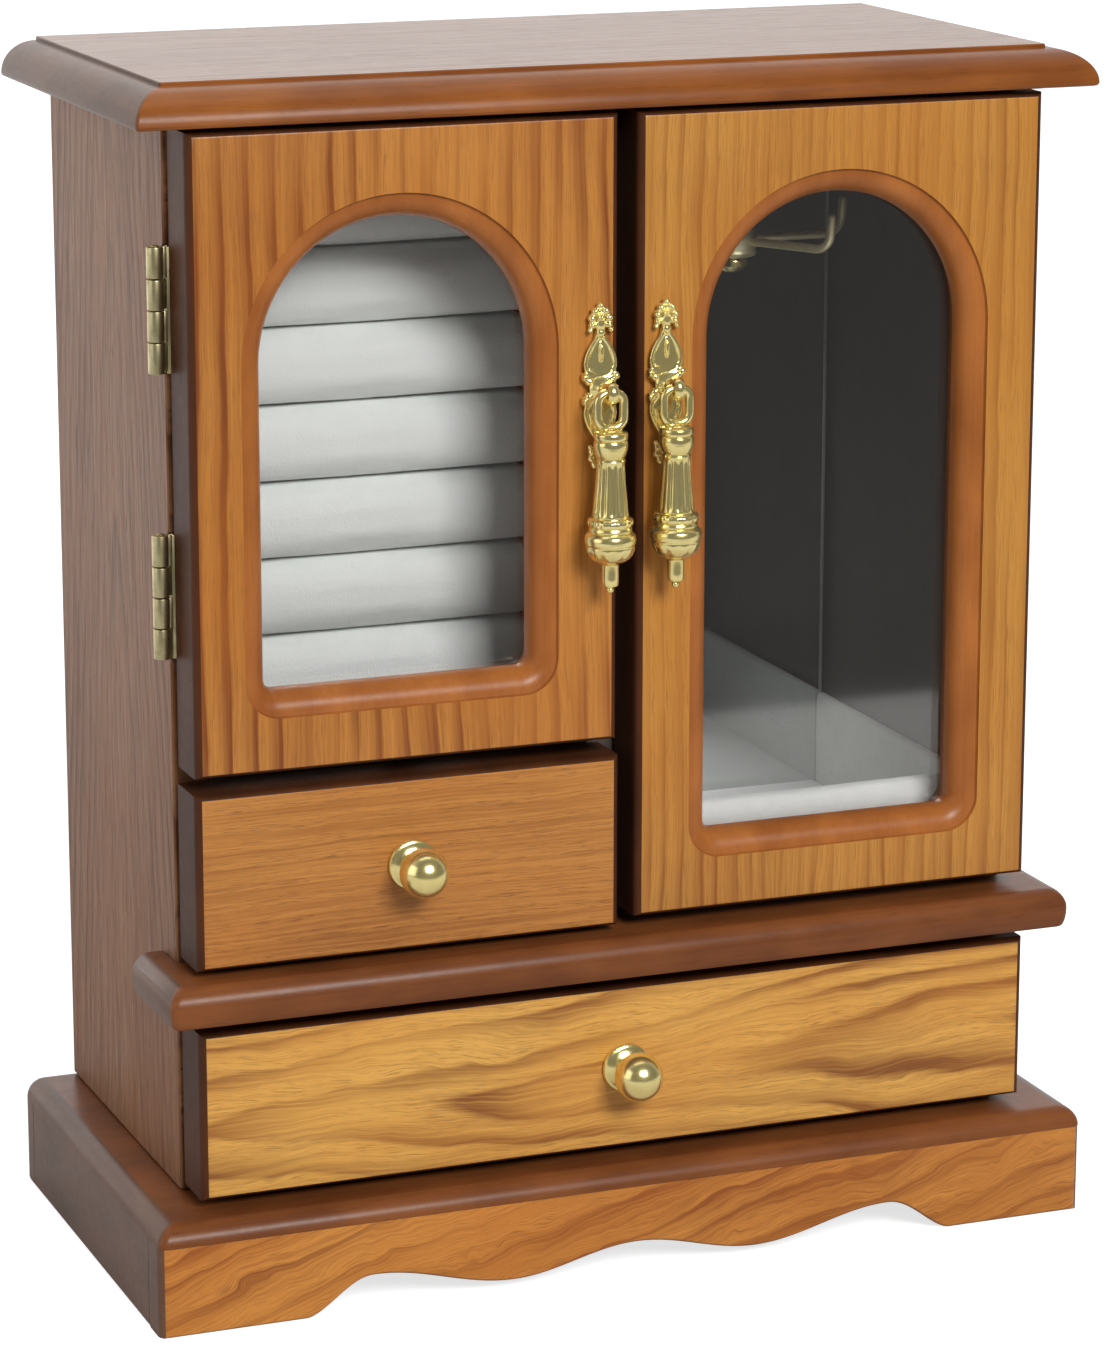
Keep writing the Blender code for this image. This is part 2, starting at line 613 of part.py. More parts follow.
def build_pull(side):
    word = "right" if side > 0 else "left"
    x = side * (door_inner + (HANDLE_IN_RIGHT if side > 0 else HANDLE_IN_LEFT))
    pivot = (x, face_y - DROP_OUT, HANDLE_Z)
    low = HANDLE_Z - PLATE_LENGTH / 2
    rings = []
    steps = 28
    for inset, depth in ((0.0, -GAP), (0.0, -GAP - PLATE_THICK * 0.5), (0.22, -GAP - PLATE_THICK)):
        right = []
        for k in range(steps + 1):
            share = k / steps
            wide = plate_half_width(share) * (1 - inset)
            height = PLATE_LENGTH * (0.5 + (share - 0.5) * (1 - inset * 0.08))
            right.append((wide, low + height))
        ring = [Vector((x + w, face_y + depth, z)) for w, z in right]
        ring += [Vector((x - w, face_y + depth, z)) for w, z in reversed(right)]
        rings.append(ring)
    plate = loft("pull_%s_plate" % word, rings, "gold", pivot=pivot)
    loop_back = face_y - DROP_OUT + LOOP_RADIUS - 0.0008
    half_loop = LOOP_WIDTH / 2
    joins = [turned([(0, 0), (0.0030, 0), (0.0026, 0.0012), (0.0012, 0.0030), (0.0012, 0.0042),
                     (0, 0.0042)], (x, face_y - GAP - PLATE_THICK + 0.0003, HANDLE_Z), (0, -1, 0), 14),
             rod(LOOP_RADIUS, (x - half_loop, pivot[1], HANDLE_Z), (x + half_loop, pivot[1], HANDLE_Z),
                 20),
             rod(0.0012, (x, loop_back + 0.0012, HANDLE_Z), (x, loop_back, HANDLE_Z), 10)]
    combine(plate, joins, "UNION")
    hole = rod(EYE_WIRE + 0.0004, (x - 0.004, pivot[1], HANDLE_Z), (x + 0.004, pivot[1], HANDLE_Z), 16)
    combine(plate, [hole], "DIFFERENCE")
    smooth_round(plate, 50)

    eye_half = 0.0032
    eye_high = EYE_HEIGHT
    bend = 0.0022
    path = []
    corners = ((eye_half - bend, -bend, 0.0), (-(eye_half - bend), -bend, 0.5),
               (-(eye_half - bend), -(eye_high - bend), 1.0),
               (eye_half - bend, -(eye_high - bend), 1.5))
    for cx, cz, start in corners:
        for k in range(4):
            angle = math.pi * (start + 0.5 * k / 3)
            path.append((x + cx + bend * math.cos(angle), pivot[1],
                         HANDLE_Z + cz + bend * math.sin(angle)))
    eye = tube(path, EYE_WIRE, 8, closed=True)
    top = eye_high + EYE_WIRE * 0.3
    span = DROP_LENGTH - top
    shape = [(0.0, 0.0), (0.58, 0.0), (0.66, 0.02), (0.66, 0.11), (0.58, 0.165), (0.52, 0.185),
             (0.55, 0.20), (0.69, 0.51), (0.67, 0.525), (0.90, 0.545), (0.92, 0.59), (0.84, 0.61),
             (0.97, 0.635), (1.0, 0.68), (0.93, 0.76), (0.68, 0.81), (0.36, 0.825), (0.34, 0.95),
             (0.15, 0.96), (0.18, 0.98), (0.0, 1.0)]
    profile = [(DROP_BELLY * r, top + span * s) for r, s in shape]
    drop = finish("pull_%s_drop" % word,
                  turned(profile, (x, pivot[1], HANDLE_Z), (0, 0, -1), 20), "gold", pivot=pivot)
    combine(drop, [eye], "UNION")
    smooth_round(drop, 50)


def build_knob(name, x, z, pivot):
    ball = KNOB_OUT - KNOB_BALL
    profile = [(0, GAP), (KNOB_FLANGE, GAP), (KNOB_FLANGE, GAP + 0.0010), (0.0058, 0.0022),
               (0.0036, 0.0030), (0.0030, 0.0036)]
    start = math.asin(0.0030 / KNOB_BALL)
    for k in range(8):
        angle = start + (math.pi - start) * k / 8
        profile.append((KNOB_BALL * math.sin(angle), ball - KNOB_BALL * math.cos(angle)))
    profile.append((0, KNOB_OUT))
    finish(name, turned(profile, (x, face_y, z), (0, -1, 0), 22), "gold", pivot=pivot, smooth=True)


# ---------------------------------------------------------------- drawers
def build_drawer(word, x0, x1, z0, z1, box_x0, box_x1, floor_z, roof_z):
    """Drawer with an overlaid front: x0..z1 give the front, box_x0..roof_z the box behind it."""
    pivot = ((x0 + x1) / 2, face_y, z0)
    loft("drawer_%s_front" % word, rounded_front(x0, x1, z0, z1), "drawer_oak", pivot=pivot)
    y0 = front_back_y + GAP
    y1 = back_board_y - 0.005
    left, right = box_x0 + DRAWER_PLAY, box_x1 - DRAWER_PLAY
    low, high = floor_z + 0.0005, roof_z - 0.0035
    board("drawer_%s_side_left" % word, (left, y0, low), (left + DRAWER_BOARD, y1, high),
          "inner_wood", pivot=pivot)
    board("drawer_%s_side_right" % word, (right - DRAWER_BOARD, y0, low), (right, y1, high),
          "inner_wood", pivot=pivot)
    a, b = left + DRAWER_BOARD + GAP, right - DRAWER_BOARD - GAP
    board("drawer_%s_back" % word, (a, y1 - DRAWER_BOARD, low), (b, y1, high),
          "inner_wood", pivot=pivot)
    board("drawer_%s_bottom" % word, (a, y0, low), (b, y1 - DRAWER_BOARD - GAP, low + DRAWER_FLOOR),
          "board", pivot=pivot)
    felt = low + DRAWER_FLOOR + GAP
    board("drawer_%s_lining" % word, (a + 0.0002, y0 + 0.0002, felt),
          (b - 0.0002, y1 - DRAWER_BOARD - 2 * GAP, felt + DRAWER_FELT), "felt", pivot=pivot)
    build_knob("knob_" + word, (x0 + x1) / 2, (z0 + z1) / 2, pivot)


# ---------------------------------------------------------------- what the bays hold
def build_rolls():
    x0 = -half_inside + 2 * GAP
    x1 = -half_divider - 2 * GAP
    y_front = case_y + ROLL_SETBACK
    height = ROLL_PITCH - 0.0004
    first = shelf_high_z + ROLL_START
    for index in range(ROLL_COUNT):
        z_mid = first + ROLL_PITCH * (index + 0.5)
        rings = []
        for x, shrink in ((x0, 0.0016), (x0 + 0.0006, 0.0006), (x0 + 0.002, 0.0), (x1 - 0.002, 0.0),
                          (x1 - 0.0006, 0.0006), (x1, 0.0016)):
            ring = []
            for k in range(18):
                angle = 2 * math.pi * k / 18
                c, s = math.cos(angle), math.sin(angle)
                dy = math.copysign(abs(c) ** 0.72, c) * (ROLL_DEPTH / 2 - shrink)
                dz = math.copysign(abs(s) ** 0.72, s) * (height / 2 - shrink)
                ring.append(Vector((x, y_front + ROLL_DEPTH / 2 + dy, z_mid + dz)))
            rings.append(ring)
        loft("ring_roll_%d" % (index + 1), rings, "plush", smooth=True)
    y0 = y_front + ROLL_DEPTH + GAP
    board("ring_backer", (x0, y0, first), (x1, y0 + 0.003, first + ROLL_PITCH * ROLL_COUNT), "board")


def build_bin():
    x0 = half_divider + GAP
    x1 = half_inside - GAP
    low = deck_high_z + GAP
    high = low + BIN_HEIGHT
    y_pad = case_y + 0.0018
    y_wall = y_pad + BIN_PAD + GAP
    y_end = mirror_y - GAP
    bottom = low + BIN_BOARD
    outline = [(x0, low), (x1, low), (x1, high), (x1 - BIN_WALL, high), (x1 - BIN_WALL, bottom),
               (x0 + BIN_WALL, bottom), (x0 + BIN_WALL, high), (x0, high)]
    loft("bin_liner", [[Vector((x, y, z)) for x, z in outline] for y in (y_wall, y_end)], "plush")
    a, b = x0 + BIN_WALL + GAP, x1 - BIN_WALL - GAP
    board("bin_floor", (a, y_wall, bottom + GAP), (b, y_end, bottom + GAP + 0.0025), "felt")

    rings = []
    soft = 0.0024
    for k in range(10):
        angle = math.pi / 2 * (k % 5) / 4
        if k < 5:
            along, shrink = soft * (1 - math.cos(angle)), soft * (1 - math.sin(angle))
            x = x0 + along
        else:
            along, shrink = soft * (1 - math.sin(angle)), soft * (1 - math.cos(angle))
            x = x1 - along
        shrink = min(shrink, soft)
        top = high - BIN_PAD_DROP
        rings.append([Vector((x, y_pad + shrink * 0.6, low)), Vector((x, y_pad + shrink * 0.6, top - soft
                      - shrink)),
                      Vector((x, y_pad + 0.0012 + shrink * 0.5, top - 0.0008 - shrink)),
                      Vector((x, y_pad + BIN_PAD * 0.5, top - shrink)),
                      Vector((x, y_pad + BIN_PAD - 0.0012, top - 0.0008 - shrink)),
                      Vector((x, y_pad + BIN_PAD, top - soft - shrink)),
                      Vector((x, y_pad + BIN_PAD, low))])
    loft("bin_pad", rings, "plush", smooth=True)
    board("mirror", (x0 + GAP, mirror_y, low), (x1 - 0.0013, mirror_y + MIRROR, ceiling_z - 0.0006),
          "mirror", ease=0.0003)


def build_carousel():
    x, y = bay_middle_x, bay_middle_y
    arm_z = ceiling_z - CAROUSEL_DROP
    plate = [(0, 0), (0.0090, 0), (0.0090, 0.0012), (0.0078, 0.0020), (SPINDLE + 0.0012, 0.0024),
             (SPINDLE, 0.0040), (SPINDLE, CAROUSEL_DROP + 0.0048), (0.0042, CAROUSEL_DROP + 0.0049),
             (0.0042, CAROUSEL_DROP + 0.0066), (0.0026, CAROUSEL_DROP + 0.0080),
             (0, CAROUSEL_DROP + 0.0084)]
    finish("carousel_mount", turned(plate, (x, y, ceiling_z - GAP), (0, 0, -1), 20), "gold",
           pivot=(x, y, arm_z), smooth=True)
    hub = [(0, -0.0044), (0.0058, -0.0044), (0.0066, -0.0030), (0.0066, 0.0030), (0.0058, 0.0042),
           (0, 0.0042)]
    rotor = finish("carousel_rotor", turned(hub, (x, y, arm_z), (0, 0, 1), 24), "gold",
                   pivot=(x, y, arm_z))
    arms = []
    bend = 0.0045
    for index in range(CAROUSEL_HOOKS):
        angle = 2 * math.pi * index / CAROUSEL_HOOKS
        out = Vector((math.cos(angle), math.sin(angle), 0.0))
        centre = Vector((x, y, arm_z))
        path = [centre + out * 0.0048, centre + out * (CAROUSEL_REACH - bend)]
        for k in range(1, 5):
            turn = math.pi / 2 * k / 4 * 0.92
            path.append(centre + out * (CAROUSEL_REACH - bend + bend * math.sin(turn))
                        + Vector((0, 0, bend * (1 - math.cos(turn)))))
        path.append(path[-1] + Vector((0, 0, HOOK_RISE - bend)) + out * 0.0006)
        arms.append(tube(path, HOOK_WIRE, 8))
    combine(rotor, arms, "UNION")
    bore = rod(SPINDLE + GAP, (x, y, arm_z - 0.01), (x, y, arm_z + 0.01), 20)
    combine(rotor, [bore], "DIFFERENCE")
    smooth_round(rotor, 45)


# ---------------------------------------------------------------- assembly
def build():
    for item in list(bpy.data.objects):
        bpy.data.objects.remove(item, do_unlink=True)
    build_top()
    build_base()
    build_case()
    build_door(-1, left_low_z)
    build_door(1, right_low_z)
    build_catch()
    build_hinges(-1, left_low_z)
    build_hinges(1, right_low_z)
    build_pull(-1)
    build_pull(1)
    edge = half_case - DRAWER_INSET
    build_drawer("big", -edge, edge, big_low_z, big_high_z, -half_inside, half_inside,
                 base_top_z, deck_low_z)
    build_drawer("small", -edge, -MEETING_GAP * 0.35, small_low_z, small_high_z,
                 -half_inside, -half_divider, deck_high_z, shelf_low_z)
    build_rolls()
    build_bin()
    build_carousel()


build()
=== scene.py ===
import json
import math

import bmesh
import bpy
import numpy as np
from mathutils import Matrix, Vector, noise


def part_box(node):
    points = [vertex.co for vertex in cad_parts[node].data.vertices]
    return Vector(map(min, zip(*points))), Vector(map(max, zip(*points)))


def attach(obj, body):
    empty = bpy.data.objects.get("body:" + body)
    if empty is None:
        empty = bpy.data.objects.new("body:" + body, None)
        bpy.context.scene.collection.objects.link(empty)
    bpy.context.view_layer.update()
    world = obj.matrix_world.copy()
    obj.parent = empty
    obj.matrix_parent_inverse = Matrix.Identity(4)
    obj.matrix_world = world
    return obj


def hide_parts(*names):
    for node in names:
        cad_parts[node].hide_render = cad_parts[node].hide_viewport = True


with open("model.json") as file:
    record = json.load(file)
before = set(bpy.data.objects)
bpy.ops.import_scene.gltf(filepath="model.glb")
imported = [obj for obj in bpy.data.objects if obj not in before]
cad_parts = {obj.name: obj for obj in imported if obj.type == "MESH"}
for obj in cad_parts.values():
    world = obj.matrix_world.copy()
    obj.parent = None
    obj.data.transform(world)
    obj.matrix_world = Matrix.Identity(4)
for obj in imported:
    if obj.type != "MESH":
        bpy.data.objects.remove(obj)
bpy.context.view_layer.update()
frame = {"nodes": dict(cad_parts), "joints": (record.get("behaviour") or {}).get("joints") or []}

NODES = frame["nodes"]
JOINTS = {joint["name"]: joint for joint in frame["joints"]}
MM = 0.001
STAGE_GLOW, STAGE_SEEN = 1.0, 0.74      # the sweep's own light: on the object, and as the camera sees it


def span(node):
    """Lowest and highest corner of a CAD node as two plain tuples."""
    low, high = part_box(node)
    return tuple(low), tuple(high)


# ================================================================ shader helpers
class Nodes:
    """Short way to build a node tree: every call returns an output socket."""

    def __init__(self, owner, shader="Principled BSDF"):
        owner.use_nodes = True
        self.tree = owner.node_tree
        self.shader = self.tree.nodes[shader]

    def put(self, socket, value):
        if isinstance(value, bpy.types.NodeSocket):
            self.tree.links.new(value, socket)
        elif isinstance(value, (tuple, list)) and len(value) == 3 and socket.type == "RGBA":
            socket.default_value = (*value, 1.0)
        else:
            socket.default_value = value

    def math(self, operation, a, b=None, c=None, clamp=False):
        node = self.tree.nodes.new("ShaderNodeMath")
        node.operation = operation
        node.use_clamp = clamp
        for socket, value in zip(node.inputs, (a, b, c)):
            if value is not None:
                self.put(socket, value)
        return node.outputs[0]

    def add(self, a, b):
        return self.math("ADD", a, b)

    def mul(self, a, b):
        return self.math("MULTIPLY", a, b)

    def mul_add(self, a, b, c):
        return self.math("MULTIPLY_ADD", a, b, c)

    def vector(self, x, y, z):
        node = self.tree.nodes.new("ShaderNodeCombineXYZ")
        for socket, value in zip(node.inputs, (x, y, z)):
            self.put(socket, value)
        return node.outputs[0]

    def place(self):
        """Object position in millimetres as three sockets."""
        node = self.tree.nodes.new("ShaderNodeTexCoord")
        parts = self.tree.nodes.new("ShaderNodeSeparateXYZ")
        self.tree.links.new(node.outputs["Object"], parts.inputs[0])
        return [self.mul(parts.outputs[k], 1000.0) for k in range(3)]

    def facing(self):
        node = self.tree.nodes.new("ShaderNodeTexCoord")
        parts = self.tree.nodes.new("ShaderNodeSeparateXYZ")
        self.tree.links.new(node.outputs["Normal"], parts.inputs[0])
        return list(parts.outputs[:3])

    def noise(self, vector, scale, detail=2.0, rough=0.5, distort=0.0):
        node = self.tree.nodes.new("ShaderNodeTexNoise")
        self.put(node.inputs["Vector"], vector)
        node.inputs["Scale"].default_value = scale
        node.inputs["Detail"].default_value = detail
        node.inputs["Roughness"].default_value = rough
        node.inputs["Distortion"].default_value = distort
        return node.outputs[0]

    def field(self, u, along, v, across, w, detail=2.0, rough=0.5, distort=0.0):
        """Noise with its own scale along u and along v; w is the third coordinate."""
        return self.noise(self.vector(self.mul(u, along), self.mul(v, across), w), 1.0, detail, rough,
                          distort)

    def cells(self, vector, scale):
        node = self.tree.nodes.new("ShaderNodeTexVoronoi")
        self.put(node.inputs["Vector"], vector)
        node.inputs["Scale"].default_value = scale
        return node.outputs[0]

    def ramp(self, factor, stops):
        node = self.tree.nodes.new("ShaderNodeValToRGB")
        points = node.color_ramp.elements
        while len(points) < len(stops):
            points.new(0.5)
        for point, (position, colour) in zip(points, stops):
            point.position = position
            point.color = (colour, colour, colour, 1.0)
        self.put(node.inputs[0], factor)
        return node.outputs[0]

    def mix(self, factor, a, b):
        node = self.tree.nodes.new("ShaderNodeMix")
        node.data_type = "RGBA"
        self.put(node.inputs[0], factor)
        self.put(node.inputs[6], a)
        self.put(node.inputs[7], b)
        return node.outputs[2]

    def bump(self, height, distance, strength=1.0):
        node = self.tree.nodes.new("ShaderNodeBump")
        node.inputs["Strength"].default_value = strength
        node.inputs["Distance"].default_value = distance
        self.put(node.inputs["Height"], height)
        self.tree.links.new(node.outputs[0], self.shader.inputs["Normal"])

    def set(self, **values):
        names = {"colour": "Base Color", "rough": "Roughness", "metal": "Metallic",
                 "coat": "Coat Weight", "coat_rough": "Coat Roughness", "sheen": "Sheen Weight",
                 "sheen_rough": "Sheen Roughness", "alpha": "Alpha", "specular": "Specular IOR Level"}
        for key, value in values.items():
            self.put(self.shader.inputs[names[key]], value)


def new_material(name):
    material = bpy.data.materials.new(name)
    return material, Nodes(material)


def veneer(name, light, dark, along="z", across="x", pitch=7.0, wander=6.0, contrast=0.8, fibre=0.30,
           tone=0.30, pore=0.6, tilt=0.0, arch=None, seed=0.0, rough=0.36, swirl=0.0, coat=0.04,
           backing=None, mask=None, pore_length=1.0, specular=0.3):
    """Lacquered oak veneer. Grain runs along one axis; arch=(centre, start, slope, softness) nests
    pointed arches in the growth lines; mask(nodes) gives 1 where the veneer shows, 0 for backing."""
    material, n = new_material(name)
    axes = dict(zip("xyz", n.place()))
    u, v = axes[along], axes[across]
    third = axes[next(a for a in "xyz" if a not in (along, across))]
    if tilt:
        c, s = math.cos(math.radians(tilt)), math.sin(math.radians(tilt))
        u, v = (n.mul_add(v, s, n.mul(u, c)), n.mul_add(v, c, n.mul(u, -s)))
    big = n.field(u, 0.010, v, 0.028, seed, 2.0, 0.45)
    small = n.field(u, 0.045, v, 0.11, seed + 7.3, 2.0, 0.5)
    bent = n.mul_add(n.add(big, -0.5), wander * 2.0, v)
    bent = n.mul_add(n.add(small, -0.5), wander * 0.5, bent)
    if swirl:
        eddy = n.field(u, 0.055, v, 0.075, seed + 3.1, 2.0, 0.5, 0.8)
        bent = n.mul_add(n.add(eddy, -0.5), swirl, bent)
    line = bent
    if arch:
        centre, start, slope, soft = arch
        side = n.add(bent, -centre)
        spread = n.math("SQRT", n.add(n.mul(side, side), soft * soft))
        line = n.mul_add(n.add(u, -start), -slope, spread)
    rings = n.mul(line, 1.0 / pitch)
    rings = n.mul_add(n.noise(n.vector(n.mul(rings, 0.55), 0.0, seed + 11.0), 1.0, 2.0), 1.4, rings)
    cycle = n.math("FRACT", rings)
    band = n.ramp(cycle, [(0.0, 0.10), (0.25, 0.0), (0.55, 0.30), (0.78, 0.80), (0.9, 1.0), (1.0, 0.10)])
    weight = n.field(rings, 0.30, u, 0.012, seed + 2.0, 2.0)
    band = n.mul(band, n.ramp(weight, [(0.36, 0.30), (0.60, 1.0)]))
    streak = n.field(u, 0.020, bent, 1.3, n.add(n.mul(third, 0.2), seed), 4.0, 0.62)
    streak = n.ramp(streak, [(0.36, 0.0), (0.64, 1.0)])
    patch = n.field(u, 0.008, v, 0.020, seed + 19.0, 3.0)
    patch = n.ramp(patch, [(0.36, 0.0), (0.64, 1.0)])
    fine = n.field(u, 0.13 / pore_length, bent, 4.2, seed + 5.0, 2.0, 0.6)
    pores = n.ramp(fine, [(0.53, 0.0), (0.66, 1.0)])
    pores = n.mul(pores, n.ramp(cycle, [(0.0, 1.0), (0.45, 0.65), (0.75, 0.15), (1.0, 0.9)]))
    amount = n.mul(band, contrast)
    amount = n.mul_add(n.add(streak, -0.5), fibre, amount)
    amount = n.mul_add(n.add(patch, -0.5), tone, amount)
    amount = n.math("ADD", amount, 0.12, clamp=True)
    colour = n.mix(amount, light, dark)
    warm = n.field(u, 0.016, v, 0.03, seed + 31.0, 2.0)
    colour = n.mix(n.ramp(warm, [(0.40, 0.0), (0.65, 0.30)]), colour,
                   tuple(c * k for c, k in zip(light, (0.90, 0.66, 0.42))))
    deep = tuple(c * 0.50 for c in dark)
    colour = n.mix(n.mul(pores, pore), colour, deep)
    height = n.mul_add(pores, -0.8, n.mul(streak, 0.25))
    gloss = n.mul_add(pores, 0.14, n.mul_add(streak, 0.06, rough - 0.03))
    if mask is not None:
        shown = mask(n)
        mottle = n.field(axes["x"], 0.05, axes["y"], 0.05, n.mul(axes["z"], 0.05), 3.0)
        plain = n.mix(mottle, backing, tuple(c * 0.72 for c in backing))
        colour = n.mix(shown, plain, colour)
        height = n.mul(height, shown)
    n.set(colour=colour, rough=gloss, coat=coat, coat_rough=0.16, specular=specular)
    n.bump(height, 0.00005, 0.5)
    return material


def stained(name, colour, second, rough=0.36, coat=0.03, grain=0.30, along="x", specular=0.30):
    """Brown spray-stained moulding: even colour with faint long grain and orange peel."""
    material, n = new_material(name)
    axes = dict(zip("xyz", n.place()))
    others = [a for a in "xyz" if a != along]
    u, v, w = axes[along], axes[others[0]], axes[others[1]]
    long = n.field(u, 0.02, v, 0.7, n.mul(w, 0.7), 4.0, 0.6)
    cloud = n.field(u, 0.03, v, 0.06, n.mul(w, 0.06), 3.0)
    fine = n.field(u, 0.16, v, 3.4, n.mul(w, 3.4), 2.0, 0.6)
    amount = n.mul_add(n.add(n.ramp(long, [(0.36, 0.0), (0.64, 1.0)]), -0.5), grain,
                       n.ramp(cloud, [(0.34, 0.0), (0.66, 0.9)]))
    base = n.mix(n.math("ADD", amount, 0.0, clamp=True), colour, second)
    base = n.mix(n.mul(n.ramp(fine, [(0.56, 0.0), (0.70, 1.0)]), grain), base,
                 tuple(c * 0.5 for c in second))
    peel = n.noise(n.vector(u, v, w), 0.55, 2.0)
    n.set(colour=base, rough=n.mul_add(peel, 0.12, rough - 0.06), coat=coat, coat_rough=0.14,
          specular=specular)
    n.bump(n.mul_add(fine, -0.5, peel), 0.00005, 0.35)
    return material


def plated(name, colour, second, rough, brush=None, metal=1.0):
    """Plated metal with slight tarnish in patches; brush="z" adds fine lines along an axis."""
    material, n = new_material(name)
    axes = dict(zip("xyz", n.place()))
    where = n.vector(*axes.values())
    cloud = n.noise(where, 0.35, 4.0, 0.6)
    speck = n.noise(where, 2.6, 3.0, 0.6)
    base = n.mix(n.ramp(cloud, [(0.42, 0.0), (0.70, 0.75)]), colour, second)
    gloss = n.mul_add(n.ramp(cloud, [(0.3, 0.0), (0.8, 1.0)]), 0.07, n.mul_add(speck, 0.05, rough - 0.03))
    height = n.mul(speck, 0.6)
    if brush:
        scale = {axis: (0.05 if axis == brush else 5.0) for axis in "xyz"}
        lines = n.noise(n.vector(*[n.mul(axes[a], scale[a]) for a in "xyz"]), 1.0, 3.0, 0.7)
        gloss = n.mul_add(lines, 0.16, gloss)
        height = lines
    n.set(colour=base, rough=gloss, metal=metal)
    n.bump(height, 0.00002, 0.5)
    return material


def pile(name, colour, shade, tuft=0.9, depth=0.00030):
    """Short plush: fine directional tufts, soft clumps and a light sheen."""
    material, n = new_material(name)
    axes = dict(zip("xyz", n.place()))
    where = n.vector(*axes.values())
    clump = n.noise(where, 0.16, 3.0, 0.55, 0.4)
    fibre = n.noise(n.vector(n.mul(axes["x"], 1.6), axes["y"], n.mul(axes["z"], 0.8)), tuft, 4.0, 0.75, 0.6)
    nap = n.cells(n.vector(n.mul(axes["x"], 1.3), axes["y"], axes["z"]), 1.7)
    amount = n.mul_add(clump, 0.55, n.mul(fibre, 0.45))
    base = n.mix(n.ramp(amount, [(0.30, 0.0), (0.72, 1.0)]), shade, colour)
    n.set(colour=base, rough=0.95, sheen=0.45, sheen_rough=0.45, specular=0.15)
    n.bump(n.mul_add(nap, -0.5, n.mul_add(clump, 0.9, fibre)), depth, 0.6)
    return material


# ================================================================ materials
INNER = (0.115, 0.092, 0.078)


def outward_mask(sign):
    """1 on a side panel's outer face and its front and back edges, 0 elsewhere."""

    def mask(n):
        facing = n.facing()
        edge = n.math("ABSOLUTE", facing[1])
        return n.math("GREATER_THAN", n.math("MAXIMUM", n.mul(facing[0], sign), edge), 0.6)
    return mask


def side_veneer(name, sign, seed, centre):
    """Veneer of a side panel, with its arches centred on y = centre, in mm."""
    return veneer(name, (0.300, 0.146, 0.074), (0.112, 0.043, 0.018), "z", "y", pitch=5.5, wander=5.0,
                  contrast=0.85, fibre=0.50, pore=0.7, seed=seed, arch=(centre, 330.0, -0.14, 5.0),
                  mask=outward_mask(sign), backing=INNER, rough=0.42, specular=0.12, coat=0.0)


